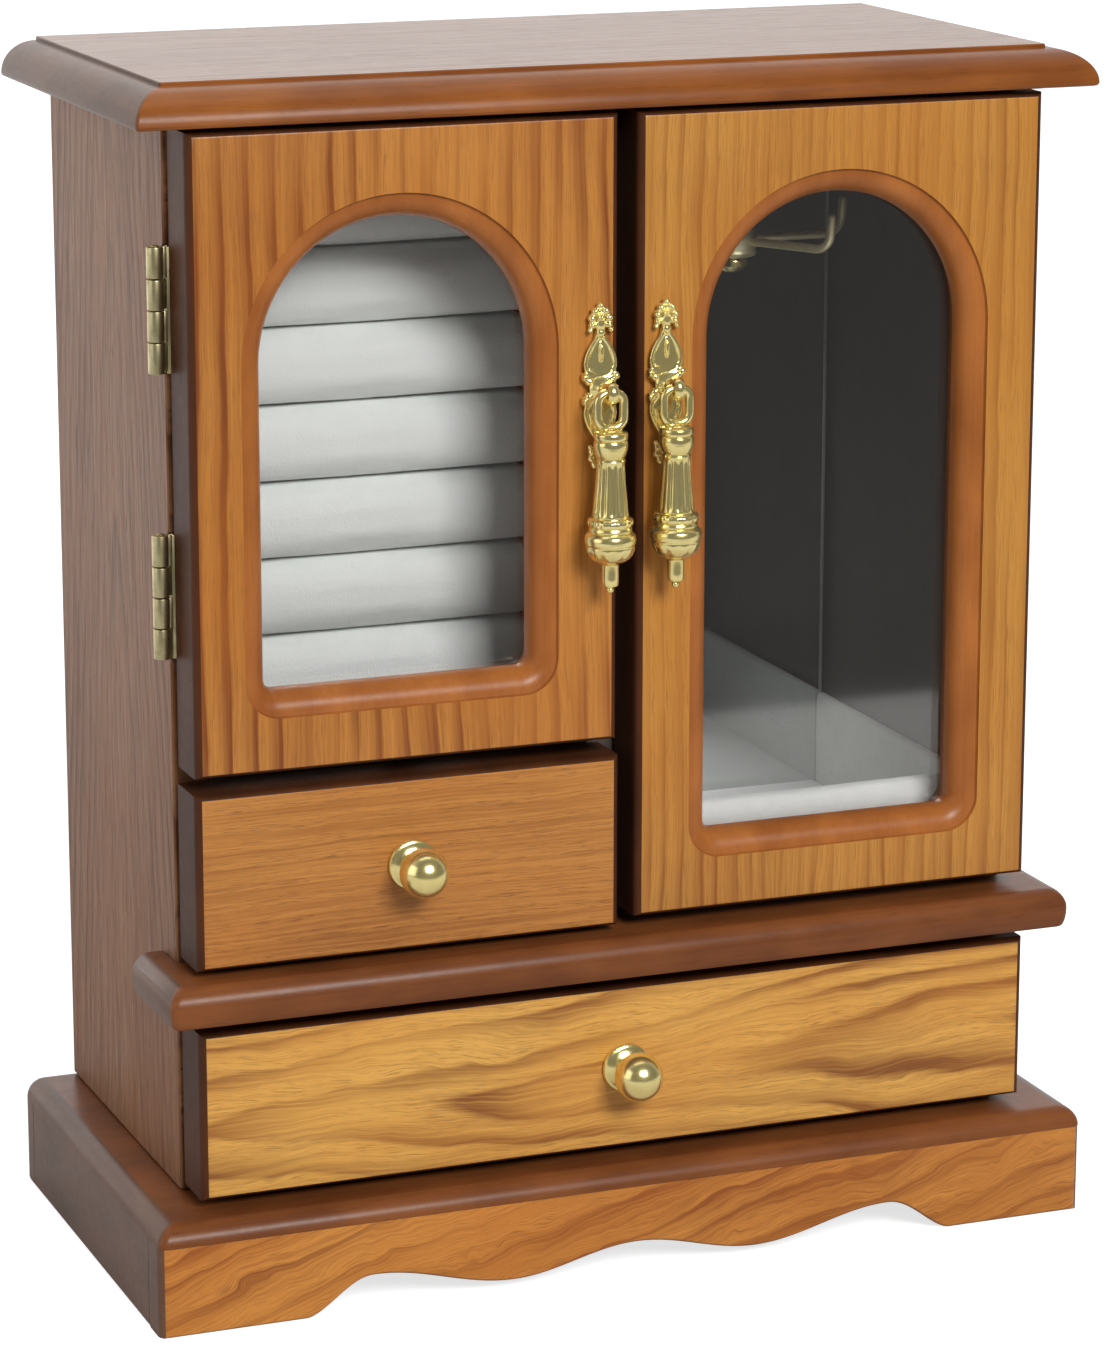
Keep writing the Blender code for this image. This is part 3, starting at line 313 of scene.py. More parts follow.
MATERIALS = {
    "left_door": veneer("left_door_veneer", (0.500, 0.205, 0.040), (0.200, 0.050, 0.009), pitch=6.6,
                        wander=3.0, contrast=0.90, seed=1.7, tone=0.35, pore=0.35),
    "right_door": veneer("right_door_veneer", (0.510, 0.230, 0.044), (0.255, 0.080, 0.013), pitch=4.8,
                         wander=3.5, contrast=0.65, seed=8.2, tone=0.40, pore=0.4),
    "small_drawer": veneer("small_drawer_veneer", (0.490, 0.205, 0.046), (0.235, 0.072, 0.014), "x", "z",
                           pitch=5.0, wander=2.5, contrast=0.35, fibre=0.55, tone=0.5, pore=0.6, seed=4.4,
                           pore_length=0.7),
    "big_drawer": veneer("big_drawer_veneer", (0.680, 0.360, 0.080), (0.225, 0.075, 0.016), "x", "z",
                         pitch=7.5, wander=10.0, contrast=0.90, fibre=0.40, pore=0.45, seed=2.9,
                         arch=(50.0, -10.0, 0.10, 6.0), pore_length=0.8),
    "skirt": veneer("skirt_veneer", (0.560, 0.225, 0.042), (0.235, 0.062, 0.010), "x", "z", pitch=9.0,
                    wander=11.0, contrast=0.70, fibre=0.45, tone=0.5, pore=0.5, tilt=16.0, swirl=5.0,
                    seed=6.1),
    "top": veneer("top_veneer", (0.260, 0.140, 0.086), (0.150, 0.066, 0.034), "x", "y", pitch=6.0, wander=4.0,
                  contrast=0.35, fibre=0.55, pore=0.6, seed=3.3, rough=0.36, coat=0.08, specular=0.45),
    "panel_left": side_veneer("left_panel_veneer", -1.0, 5.5, 12.0),
    "panel_right": side_veneer("right_panel_veneer", 1.0, 9.5, 18.0),
    "moulding": stained("moulding_stain", (0.285, 0.088, 0.015), (0.180, 0.050, 0.009), specular=0.20),
    "rail": stained("rail_stain", (0.215, 0.068, 0.018), (0.128, 0.038, 0.011), specular=0.22),
    "moulding_side": stained("side_moulding_stain", (0.150, 0.072, 0.040), (0.095, 0.044, 0.025), along="y",
                             specular=0.22, coat=0.0),
    "window_edge": stained("window_edge_stain", (0.410, 0.136, 0.028), (0.275, 0.080, 0.014), grain=0.22,
                           along="z"),
    # door and drawer-front edges: their real dark stain, darkened further to the colour the rounded edges
    # show in shade, so part of this colour is painted shade
    "edge_stain_and_shade": stained("edge_stain_and_painted_shade", (0.085, 0.026, 0.008), (0.050, 0.016, 0.006), grain=0.25,
                          along="z", rough=0.5, coat=0.0, specular=0.15),
    "inner": stained("inner_stain", INNER, tuple(c * 0.7 for c in INNER), rough=0.55, coat=0.0, along="y",
                     specular=0.3),
    "drawer_wood": veneer("drawer_box_wood", (0.430, 0.250, 0.120), (0.290, 0.150, 0.066), "y", "z",
                          pitch=4.0, wander=2.0, contrast=0.4, seed=7.7, rough=0.55, coat=0.0),
    "board": stained("dark_board", (0.085, 0.058, 0.040), (0.055, 0.038, 0.027), rough=0.65, coat=0.0,
                     grain=0.15),
    "gold": plated("gold_plate", (0.940, 0.800, 0.350), (0.840, 0.680, 0.250), 0.18, metal=0.90),
    "wire": plated("brass_wire", (0.960, 0.880, 0.560), (0.860, 0.760, 0.420), 0.38, metal=0.70),
    "hinge": plated("antique_brass", (0.560, 0.490, 0.280), (0.400, 0.330, 0.170), 0.27, brush="z"),
    "steel": plated("catch_steel", (0.180, 0.180, 0.185), (0.100, 0.100, 0.105), 0.35),
    "glass_edge": plated("ground_glass_edge", (0.780, 0.800, 0.790), (0.600, 0.640, 0.630), 0.32, brush="z"),
    "plush": pile("plush_white", (0.930, 0.955, 0.930), (0.890, 0.920, 0.890)),
    "bin_plush": pile("bin_plush", (0.840, 0.855, 0.835), (0.720, 0.740, 0.720), tuft=1.2),
    "felt": pile("drawer_felt", (0.700, 0.720, 0.700), (0.600, 0.620, 0.605), tuft=1.8, depth=0.00015),
}


def glass_material():
    material, n = new_material("door_glass")
    wave = n.noise(n.vector(*n.place()), 0.018, 2.0)
    n.set(colour=(0.96, 0.94, 0.90), metal=1.0, rough=0.05, alpha=0.10)
    n.bump(wave, 0.0001, 0.10)
    return material


def mirror_material():
    material, n = new_material("back_mirror")
    haze = n.noise(n.vector(*n.place()), 0.05, 3.0)
    n.set(colour=n.mix(haze, (0.66, 0.68, 0.67), (0.60, 0.62, 0.61)), metal=1.0,
          rough=n.mul_add(haze, 0.04, 0.02))
    return material


MATERIALS["glass"] = glass_material()
MATERIALS["mirror"] = mirror_material()


# ================================================================ mesh helpers
def piece(name, verts, faces, look, body, smooth=35.0, picks=None, replaces=()):
    """Make an object from vertices and faces; look is one material key or several with picks."""
    mesh = bpy.data.meshes.new(name)
    mesh.from_pydata([tuple(v) for v in verts], [], [tuple(f) for f in faces])
    looks = [look] if isinstance(look, str) else list(look)
    for key in looks:
        mesh.materials.append(MATERIALS[key])
    if picks is not None:
        for polygon, pick in zip(mesh.polygons, picks):
            polygon.material_index = pick
    shaped = bmesh.new()
    shaped.from_mesh(mesh)
    bmesh.ops.remove_doubles(shaped, verts=shaped.verts, dist=1e-7)
    bmesh.ops.recalc_face_normals(shaped, faces=shaped.faces)
    shaped.to_mesh(mesh)
    shaped.free()
    mesh.shade_smooth()
    if smooth < 180:
        mesh.set_sharp_from_angle(angle=math.radians(smooth))
    item = bpy.data.objects.new(name, mesh)
    bpy.context.scene.collection.objects.link(item)
    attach(item, body)
    if replaces:
        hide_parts(*replaces)
    return item


def skin(rings, closed=False):
    """Vertices and faces of a loft; also each face's ring index, -1 for the first cap and -2 for the last."""
    count = len(rings[0])
    verts = [p for ring in rings for p in ring]
    faces, rows = [], []
    total = len(rings)
    for r in range(total if closed else total - 1):
        a, b = r * count, ((r + 1) % total) * count
        for i in range(count):
            j = (i + 1) % count
            faces.append((a + i, a + j, b + j, b + i))
            rows.append(r)
    if not closed:
        faces.append(tuple(range(count)))
        rows.append(-1)
        faces.append(tuple(reversed(range((total - 1) * count, total * count))))
        rows.append(-2)
    return verts, faces, rows


def loft(name, rings, look, body, smooth, replaced):
    """A loft in one material, made into a piece."""
    verts, faces, _ = skin(rings)
    return piece(name, verts, faces, look, body, smooth, None, replaced)


def quarter(steps, first=0):
    """Angles of a quarter turn in equal steps."""
    return [math.pi / 2 * k / steps for k in range(first, steps + 1)]


def circle(steps):
    """Angles of a full turn in equal steps."""
    return [2 * math.pi * k / steps for k in range(steps)]


def arc(cx, cy, radius, start, steps, z):
    """Points of a quarter turn in plan, from the start angle in degrees."""
    turns = [math.radians(start + 90 * k / steps) for k in range(steps + 1)]
    return [(cx + radius * math.cos(turn), cy + radius * math.sin(turn), z) for turn in turns]


def middle_of(verts, face):
    return sum((Vector(verts[i]) for i in face), Vector()) / len(face)


def lathe(profile, centre, axis, segments=64, shape=None):
    """Turned solid from (radius, along) steps, closed to points at both ends."""
    turn = Vector((0, 0, 1)).rotation_difference(Vector(axis)).to_matrix()
    centre = Vector(centre)
    verts, faces = [], []
    inner = [step for step in profile if step[0] > 1e-9]
    for radius, along in inner:
        for angle in circle(segments):
            r = radius if shape is None else shape(radius, along, angle)
            verts.append(centre + turn @ Vector((r * math.cos(angle), r * math.sin(angle), along)))
    for r in range(len(inner) - 1):
        for i in range(segments):
            j = (i + 1) % segments
            faces.append((r * segments + i, r * segments + j, (r + 1) * segments + j, (r + 1) * segments + i))
    verts.append(centre + turn @ Vector((0, 0, profile[0][1])))
    verts.append(centre + turn @ Vector((0, 0, profile[-1][1])))
    last = (len(inner) - 1) * segments
    for i in range(segments):
        j = (i + 1) % segments
        faces.append((len(verts) - 2, j, i))
        faces.append((len(verts) - 1, last + i, last + j))
    return verts, faces


def merge(*parts):
    """Put several (verts, faces) together in one list."""
    verts, faces = [], []
    for part_verts, part_faces in parts:
        start = len(verts)
        verts.extend(part_verts)
        faces.extend(tuple(i + start for i in face) for face in part_faces)
    return verts, faces


def wire(points, radius, sides=16, closed=False):
    """Round wire along a flat path, with rounded ends."""
    points = [Vector(p) for p in points]
    count = len(points)
    plane = Vector((0, 0, 0))
    for a, b, c in zip(points[:-2], points[1:-1], points[2:]):
        plane += (b - a).cross(c - b)
    if plane.length < 1e-12:
        plane = (points[1] - points[0]).orthogonal()
    plane.normalize()
    rings = []

    def ring(centre, side, scale):
        return [centre + radius * scale * (math.cos(2 * math.pi * k / sides) * side
                                           + math.sin(2 * math.pi * k / sides) * plane) for k in range(sides)]

    for i in range(count):
        if closed:
            tangent = points[(i + 1) % count] - points[i - 1]
        else:
            tangent = points[min(i + 1, count - 1)] - points[max(i - 1, 0)]
        tangent.normalize()
        side = tangent.cross(plane).normalized()
        if not closed and i == 0:
            for k in (3, 2, 1):
                angle = math.pi / 2 * k / 3.2
                rings.append(ring(points[0] - tangent * radius * math.sin(angle), side, math.cos(angle)))
        rings.append(ring(points[i], side, 1.0))
        if not closed and i == count - 1:
            for k in (1, 2, 3):
                angle = math.pi / 2 * k / 3.2
                rings.append(ring(points[-1] + tangent * radius * math.sin(angle), side, math.cos(angle)))
    verts, faces, _ = skin(rings, closed)
    return verts, faces


def eased_box(low, high, radius, steps=3):
    """Box with rounded edges, as one loft along z with rounded corners in plan."""
    (x0, y0, z0), (x1, y1, z1) = low, high
    radius = min(radius, (x1 - x0) * 0.49, (y1 - y0) * 0.49, (z1 - z0) * 0.49)

    def ring(z, inset):
        r = radius
        corners = ((x1 - r, y1 - r, 0), (x0 + r, y1 - r, 90), (x0 + r, y0 + r, 180), (x1 - r, y0 + r, 270))
        return [p for cx, cy, start in corners for p in arc(cx, cy, r - inset, start, steps, z)]

    rings = []
    for angle in quarter(steps):
        rings.append(ring(z0 + radius * (1 - math.sin(angle)), radius * (1 - math.cos(angle)) * 0.999))
    rings.reverse()
    for angle in quarter(steps):
        rings.append(ring(z1 - radius * (1 - math.sin(angle)), radius * (1 - math.cos(angle)) * 0.999))
    verts, faces, _ = skin(rings)
    return verts, faces


# ================================================================ case
def build_top():
    low, high = span("top_board")
    z0, z1 = low[2], high[2]
    width, deeper = 9.5 * MM, 12.0 / 9.5
    step = 1.0 * MM
    profile = [(0.9 * MM, z0), (0.3 * MM, z0 + 0.25 * MM), (0.0, z0 + 0.9 * MM)]
    rise = (z1 - step) - (z0 + 0.9 * MM)
    for angle in quarter(18, 1):
        profile.append((width * 0.955 * (1 - math.cos(angle)), z0 + 0.9 * MM + rise * math.sin(angle)))
    profile += [(width * 0.985, z1 - step), (width, z1 - step * 0.85), (width, z1 - 0.25 * MM),
                (width + 0.25 * MM, z1)]
    rings = []
    for inset, z in profile:
        x0, x1, y0, y1 = low[0] + inset, high[0] - inset, low[1] + inset * deeper, high[1]
        r = 0.8 * MM
        ring = [(x1, y1, z), (x0, y1, z)]
        ring += arc(x0 + r, y0 + r, r, 180, 4, z) + arc(x1 - r, y0 + r, r, 270, 4, z)
        rings.append(ring)
    verts, faces, rows = skin(rings)
    picks = []
    for face, row in zip(faces, rows):
        middle = middle_of(verts, face)
        edge = min(middle.x - low[0], high[0] - middle.x)
        if row == -2:
            picks.append(0)
        elif middle.y > high[1] - 0.1 * MM:
            picks.append(2)
        else:
            picks.append(2 if edge * deeper < middle.y - low[1] else 1)
    piece("top_board_fine", verts, faces, ("top", "moulding", "moulding_side"), "case", 28, picks,
                 ("top_board",))


def back_round(x0, x1, back, radius, z):
    """The two rounded back corners of an outline, right side first."""
    y = back - radius
    return arc(x1 - radius, y, radius, 0, 6, z) + arc(x0 + radius, y, radius, 90, 6, z)


def build_base():
    low, high = span("base_board")
    thick = high[2] - low[2]
    profile = [(0.0, low[2])]
    for angle in quarter(14, 1):
        profile.append((thick * (1 - math.cos(angle)), low[2] + thick * math.sin(angle)))
    rings = []
    for inset, z in profile:
        x, y0, y1 = high[0] - inset, low[1] + inset, high[1] - inset
        r = max(2.6 * MM - inset * 0.3, 1.0 * MM)
        ring = back_round(-x, x, y1, max(5.0 * MM - inset, 0.8 * MM), z)
        ring += arc(-x + r, y0 + r, r, 180, 6, z) + arc(x - r, y0 + r, r, 270, 6, z)
        rings.append(ring)
    verts, faces, rows = skin(rings)
    picks = []
    for face, row in zip(faces, rows):
        middle = middle_of(verts, face)
        edge = high[0] - abs(middle.x)
        picks.append(1 if row >= 0 and edge < middle.y - low[1] - 0.8 * MM else 0)
    piece("base_board_fine", verts, faces, ("rail", "moulding_side"), "case", 30, picks, ("base_board",))

    low, high = span("skirt_front")
    half, top, y0, y1 = high[0], span("base_board")[0][2], low[1], high[1]
    reach = half - 38.5 * MM            # the feet at the two ends are 38.5 mm long
    # height in mm of the arch's two peaks, of the dips and of the middle
    crest, trough, centre = 9.2, 2.6, 8.2

    def edge(x):
        x = abs(x)
        peak, dip = reach * 0.80, reach * 0.375
        if x >= reach:
            return 0.0
        if x >= peak:
            share = min(1.0, (reach - x) / (reach - peak))
            return crest * MM * (0.5 - 0.5 * math.cos(math.pi * share)) ** 0.8
        if x >= dip:
            share = (peak - x) / (peak - dip)
            return crest * MM + (trough - crest) * MM * (0.5 - 0.5 * math.cos(math.pi * share))
        share = (dip - x) / dip
        return trough * MM + (centre - trough) * MM * (0.5 - 0.5 * math.cos(math.pi * share))

    steps = 150
    columns = [-reach + 2 * reach * k / steps for k in range(steps + 1)]
    corner = 3.0 * MM
    ease = 0.7 * MM
    rings = []
    for angle in quarter(8):
        rings.append((corner * (1 - math.sin(angle)), max(0.0, ease - corner * (1 - math.cos(angle))),
                      y0 + corner * (1 - math.cos(angle))))
    rings += [(0.0, 0.0, y1 - ease), (0.0, ease, y1)]
    loops = []
    for inset, lift, y in rings:
        end = half - inset
        drop = ease * 0.5 * (1 if lift else 0)
        ring = [(-end, y, lift)]
        ring += [(x, y, max(edge(x), 0.0) + lift) for x in columns]
        ring += [(end, y, lift), (end, y, top - drop * 0.2), (-end, y, top - drop * 0.2)]
        loops.append(ring)
    verts, faces, rows = skin(loops)
    picks = []
    for face, row in zip(faces, rows):
        middle = middle_of(verts, face)
        picks.append(0 if row in (-1, 0, 1, 2) and abs(middle.x) < half - 1.2 * MM else 1)
    piece("skirt_front_fine", verts, faces, ("skirt", "moulding_side"), "case", 40, picks, ("skirt_front",))
    top = span("base_board")[0][2]
    for name in ("skirt_left", "skirt_right"):
        low, high = span(name)
        (x0, y0), (x1, y1), e = low[:2], high[:2], 0.6 * MM
        rings = [[(x0 + i, y0, z), (x1 - i, y0, z), (x1 - i, y1, z), (x0 + i, y1, z)]
                 for i, z in ((e, 0.0), (e * 0.3, e * 0.3), (0.0, e), (0.0, top))]
        loft(name + "_fine", rings, "moulding_side", "case", 40, (name,))
    low, high = span("skirt_back")
    rings = []
    for i, z in ((0.6 * MM, 0.0), (0.18 * MM, 0.18 * MM), (0.0, 0.6 * MM), (0.0, top)):
        rings.append([(low[0] + i, low[1], z), (high[0] - i, low[1], z)]
                     + back_round(low[0] + i, high[0] - i, high[1] - i, 5.0 * MM, z))
    loft("skirt_back_fine", rings, "moulding_side", "case", 40, ("skirt_back",))


def build_rail():
    low, high = span("mid_rail")
    z0, z1 = low[2], high[2]
    thick = z1 - z0
    outer = high[0]
    y_front, y_ear = low[1], high[1]
    panel = span("side_panel_right")
    inside = panel[1][0] + 0.3 * MM
    y_in = panel[0][1] - 0.3 * MM
    round_x = 2.0 * MM
    rings = []
    for k in range(21):
        angle = math.pi * (k / 20 - 0.5)
        inset = (1 - math.cos(angle)) * thick * (0.42 if angle > 0 else 0.12)
        z = z0 + thick * (0.5 + 0.5 * math.sin(angle))
        x, y = outer - inset, y_front + inset
        ring = arc(-x + round_x, y + round_x, round_x, 180, 4, z)
        ring += arc(x - round_x, y + round_x, round_x, 270, 4, z)
        ring += [(x, y_ear - 0.6 * MM - inset * 0.15, z), (x - 0.6 * MM, y_ear, z), (inside, y_ear, z),
                 (inside, y_in, z), (-inside, y_in, z), (-inside, y_ear, z), (-x + 0.6 * MM, y_ear, z),
                 (-x, y_ear - 0.6 * MM - inset * 0.15, z)]
        rings.append(ring)
    verts, faces, _ = skin(rings)
    picks = []
    for face in faces:
        middle = middle_of(verts, face)
        picks.append(1 if abs(middle.x) > inside and middle.y > y_front + 6 * MM else 0)
    piece("mid_rail_fine", verts, faces, ("rail", "moulding_side"), "case", 35, picks, ("mid_rail",))


# ================================================================ doors and drawer fronts
ROUND = (2.4 * MM, 1.5 * MM)        # rounding of a front's edges, seen from the front: sides, top and foot


def slab_rings(x0, x1, z0, z1, y0, thick, points=None):
    """Rings from the front face over the rounded edge to the back; points project the outline."""
    steps = []
    for angle in quarter(10):
        steps.append((1 - math.sin(angle), 2.2 * MM * (1 - math.cos(angle)), 0.0))
    steps += [(0.0, thick - 0.4 * MM, 0.0), (0.0, thick, 0.4 * MM)]
    rings = []
    for share, depth, extra in steps:
        i, j = ROUND[0] * share + extra, ROUND[1] * share + extra
        a, b, c, d = x0 + i, x1 - i, z0 + j, z1 - j
        if points is None:
            ring = [(a, c), (b, c), (b, d), (a, d)]
        else:
            ring = [(min(max(x, a), b), min(max(z, c), d)) for x, z in points]
        rings.append([(x, y0 + depth, z) for x, z in ring])
    return rings


def arch_points(middle, half, low, high, corner):
    """Outline of a window in x and z: round head, straight sides, rounded foot corners."""
    head, bend, side = 96, 14, 6        # steps round the head, round a corner and along a straight
    points = []
    spring = high - half
    for k in range(head + 1):
        angle = math.pi * k / head
        points.append((middle + half * math.cos(angle), spring + half * math.sin(angle)))
    for k in range(1, side):
        points.append((middle - half, spring + (low + corner - spring) * k / side))
    for k in range(bend + 1):
        angle = math.pi + math.pi / 2 * k / bend
        points.append((middle - half + corner + corner * math.cos(angle),
                       low + corner + corner * math.sin(angle)))
    for k in range(1, side):
        points.append((middle - half + corner + (2 * half - 2 * corner) * k / side, low))
    for k in range(bend + 1):
        angle = 1.5 * math.pi + math.pi / 2 * k / bend
        points.append((middle + half - corner + corner * math.cos(angle),
                       low + corner + corner * math.sin(angle)))
    for k in range(1, side):
        points.append((middle + half, low + corner + (spring - low - corner) * k / side))
    return points


def build_door(word, look):
    low, high = span("door_" + word)
    pane_low, pane_high = span("glass_" + word)
    grow = 3.5 * MM
    middle = (pane_low[0] + pane_high[0]) / 2
    half = (pane_high[0] - pane_low[0]) / 2 + grow
    foot, head = pane_low[2] - grow, pane_high[2] + grow
    y0, thick = low[1], high[1] - low[1]
    rim = 6.2 * MM
    corner = 9.0 * MM

    def window(inset, depth):
        r = max(corner - inset, 2.0 * MM)
        return [(x, y0 + depth, z) for x, z in arch_points(middle, half - inset, foot + inset, head - inset,
                                                           r)]

    outline = arch_points(middle, half, foot, head, corner)
    centre = (middle, (foot + head) / 2)
    projected = []
    for x, z in outline:
        dx, dz = x - centre[0], z - centre[1]
        scale = min(((high[0] if dx > 0 else low[0]) - centre[0]) / dx if abs(dx) > 1e-9 else 1e9,
                    ((high[2] if dz > 0 else low[2]) - centre[1]) / dz if abs(dz) > 1e-9 else 1e9)
        projected.append([centre[0] + dx * scale, centre[1] + dz * scale])
    for cx in (low[0], high[0]):
        for cz in (low[2], high[2]):
            nearest = min(range(len(projected)),
                          key=lambda i: (projected[i][0] - cx) ** 2 + (projected[i][1] - cz) ** 2)
            projected[nearest] = [cx, cz]
    outside = slab_rings(low[0], high[0], low[2], high[2], y0, thick, projected)
    steps = [(0.0, 0.0), (0.10 * MM, 0.55 * MM), (0.32 * MM, 0.95 * MM), (0.75 * MM, 1.05 * MM)]
    for angle in quarter(12, 1):
        steps.append((0.75 * MM + (rim - 0.75 * MM) * math.sin(angle),
                      1.05 * MM + 5.6 * MM * (1 - math.cos(angle))))
    steps += [(rim, 8.0 * MM), (rim - 3.0 * MM, 8.0 * MM), (rim - 3.0 * MM, thick)]
    inside = [window(i, d) for i, d in steps]
    rings = list(reversed(outside)) + inside
    verts, faces, rows = skin(rings, closed=True)
    front = len(outside) - 1
    picks = []
    for row in rows:
        if row == front:
            picks.append(0)
        elif row < front:
            picks.append(1 if row < front - 2 else 0)
        else:
            picks.append(2 if row < len(rings) - 1 else 1)
    piece("door_%s_board" % word, verts, faces, (look, "edge_stain_and_shade", "window_edge"), "door_" + word, 30,
                 picks, ("door_" + word,))


def build_drawer_front(word, look):
    low, high = span("drawer_%s_front" % word)
    rings = slab_rings(low[0], high[0], low[2], high[2], low[1], high[1] - low[1])
    verts, faces, rows = skin(rings)
    # front rows take the veneer; the edges take the dark edge stain, which carries painted shade
    picks = [0 if row in (-1, 0, 1) else 1 for row in rows]
    piece("drawer_%s_face" % word, verts, faces, (look, "edge_stain_and_shade"), "drawer_" + word, 30, picks,
                 ("drawer_%s_front" % word,))


# ================================================================ hardware
def build_knob(word):
    low, high = span("knob_" + word)
    centre = ((low[0] + high[0]) / 2, high[1], (low[2] + high[2]) / 2)
    reach = high[1] - low[1]
    ball = 6.3 * MM
    mid = reach - ball
    profile = [(0, 0), (6.2 * MM, 0), (6.45 * MM, 0.15 * MM), (6.45 * MM, 0.75 * MM), (6.25 * MM, 1.05 * MM),
               (5.8 * MM, 1.15 * MM), (5.4 * MM, 1.5 * MM), (4.8 * MM, 2.0 * MM), (4.2 * MM, 2.3 * MM),
               (3.6 * MM, 2.5 * MM), (3.2 * MM, 2.8 * MM), (3.1 * MM, 3.1 * MM)]
    start = math.asin(3.1 * MM / ball)
    for k in range(25):
        angle = start + (math.pi - start) * k / 25
        profile.append((ball * math.sin(angle), mid - ball * math.cos(angle)))
    profile.append((0, reach))
    verts, faces = lathe(profile, centre, (0, -1, 0), 72)
    piece("knob_%s_turned" % word, verts, faces, "gold", "drawer_" + word, 40, None, ("knob_" + word,))


def ellipsoid(centre, radii):
    rows, segments = 12, 18
    profile = [(math.sin(math.pi * k / rows), -math.cos(math.pi * k / rows)) for k in range(rows + 1)]
    profile[0] = (0, -1)
    profile[-1] = (0, 1)
    verts, faces = lathe(profile, (0, 0, 0), (0, 0, 1), segments)
    verts = [Vector((v[0] * radii[0], v[1] * radii[1], v[2] * radii[2])) + Vector(centre) for v in verts]
    return verts, faces


def drop_outline(half_width, tip, base):
    """Teardrop outline in x and z: pointed at the tip end, round at the base end."""
    points = []
    for angle in circle(40):
        share = 0.5 - 0.5 * math.cos(angle)
        wide = math.sin(angle) * (share ** 0.55)
        points.append((half_width * wide * 1.12, tip + (base - tip) * share))
    return points


def build_plate(word):
    """Cast back plate: crown, pierced-looking shields with raised rims, scrolls and a loop."""
    low, high = span("pull_%s_plate" % word)
    joint = JOINTS["%s_pull_swing" % word]["pos_m"]
    x, z = joint[0], joint[2]
    back = high[1]
    face = back - 1.5 * MM
    parts = []

    def blob(dx, dz, rx, rz, ry=1.3, dy=0.0):
        parts.append(ellipsoid((x + dx * MM, face + (0.35 - dy) * MM, z + dz * MM),
                               (rx * MM, ry * MM, rz * MM)))

    for end in (1, -1):
        blob(0, end * 20.7, 0.95, 1.0, 1.2)
        for side in (-1, 1):
            blob(side * 1.45, end * 19.3, 1.05, 1.05, 1.25)
            blob(side * 2.35, end * 17.6, 1.05, 1.05, 1.25)
            blob(side * 2.2, end * 15.9, 1.05, 0.95, 1.25)
            blob(side * 2.75, end * 14.6, 0.70, 0.70, 1.0)
            blob(side * 4.2, end * 3.0, 1.05, 1.15, 1.35)
            blob(side * 2.9, end * 1.9, 1.25, 1.25, 1.3)
        blob(0, end * 17.9, 1.0, 1.0, 1.75)
        blob(0, end * 16.2, 1.35, 2.2, 1.35)
        blob(0, end * 14.0, 1.3, 1.4, 1.25)
        blob(0, end * 9.3, 0.55, 2.5, 1.1, 0.25)
        outline = drop_outline(4.65, end * 13.9, end * 2.4)
        rings = []
        for depth, shrink in ((0.0, 1.0), (-0.5, 1.0), (-0.8, 0.86), (-0.9, 0.6)):
            rings.append([(x + px * MM * shrink, back - 0.35 * MM + depth * MM,
                           z + (end * 7.4 + (pz - end * 7.4) * shrink) * MM) for px, pz in outline])
        verts, faces, _ = skin(rings)
        parts.append((verts, faces))
        rim = [(x + px * MM, face + 0.3 * MM, z + pz * MM) for px, pz in outline]
        parts.append(wire(rim, 0.55 * MM, 12, closed=True))
    blob(0, 0.0, 2.6, 2.8, 1.6)
    core = [(0, 20.6), (-1.5, 17.5), (-1.1, 14.2), (-2.9, 6.2), (-2.6, 2.0), (-2.6, -2.0), (-2.9, -6.2),
            (-1.1, -14.2),
            (-1.5, -17.5), (0, -20.6), (1.5, -17.5), (1.1, -14.2), (2.9, -6.2), (2.6, -2.0), (2.6, 2.0),
            (2.9, 6.2),
            (1.1, 14.2), (1.5, 17.5)]
    verts, faces, _ = skin([[(x + w * MM, back - 0.08 * MM, z + h * MM) for w, h in core],
                            [(x + w * MM, face, z + h * MM) for w, h in core]])
    parts.append((verts, faces))
    verts, faces = merge(*parts)
    cast = piece("pull_%s_casting" % word, verts, faces, "gold", "door_" + word, 180, None,
                 ("pull_%s_plate" % word,))
    remesh = cast.modifiers.new("Fuse", "REMESH")
    remesh.mode = "VOXEL"
    remesh.voxel_size = 0.22 * MM
    smooth = cast.modifiers.new("Soften", "SMOOTH")
    smooth.factor = 0.5
    smooth.iterations = 3
    apply_modifiers(cast)
    flatten = np.array([v.co for v in cast.data.vertices])
    flatten[:, 1] = np.minimum(flatten[:, 1], back)
    for axis in (0, 2):
        flatten[:, axis] = np.clip(flatten[:, axis], low[axis], high[axis])
    cast.data.vertices.foreach_set("co", flatten.ravel())
    cast.data.shade_smooth()

    pivot = Vector(joint)
    arm = [(0, 0.0), (3.0 * MM, 0.0), (3.1 * MM, 0.5 * MM), (2.5 * MM, 1.2 * MM), (1.7 * MM, 1.7 * MM),
           (1.25 * MM, 2.4 * MM), (1.15 * MM, 3.4 * MM), (1.25 * MM, 4.3 * MM), (0, 4.6 * MM)]
    neck = lathe(arm, (x, face, z), (0, -1, 0), 40)
    loop_wide = 1.25 * MM
    hole = 1.5 * MM
    outer = 3.05 * MM
    rings = []
    for angle in circle(48):
        direction = Vector((0, math.cos(angle), math.sin(angle)))
        ring = []
        for px, pr in ((-loop_wide, hole + 0.25 * MM), (-loop_wide * 0.75, hole), (loop_wide * 0.75, hole),
                       (loop_wide, hole + 0.25 * MM), (loop_wide, outer - 0.5 * MM),
                       (loop_wide * 0.6, outer - 0.12 * MM), (0.0, outer),
                       (-loop_wide * 0.6, outer - 0.12 * MM),
                       (-loop_wide, outer - 0.5 * MM)):
            ring.append(pivot + direction * pr + Vector((px, 0, 0)))
        rings.append(ring)
    verts, faces, _ = skin(rings, closed=True)
    verts, faces = merge(neck, (verts, faces))
    piece("pull_%s_loop" % word, verts, faces, "gold", "door_" + word, 40, None, ())


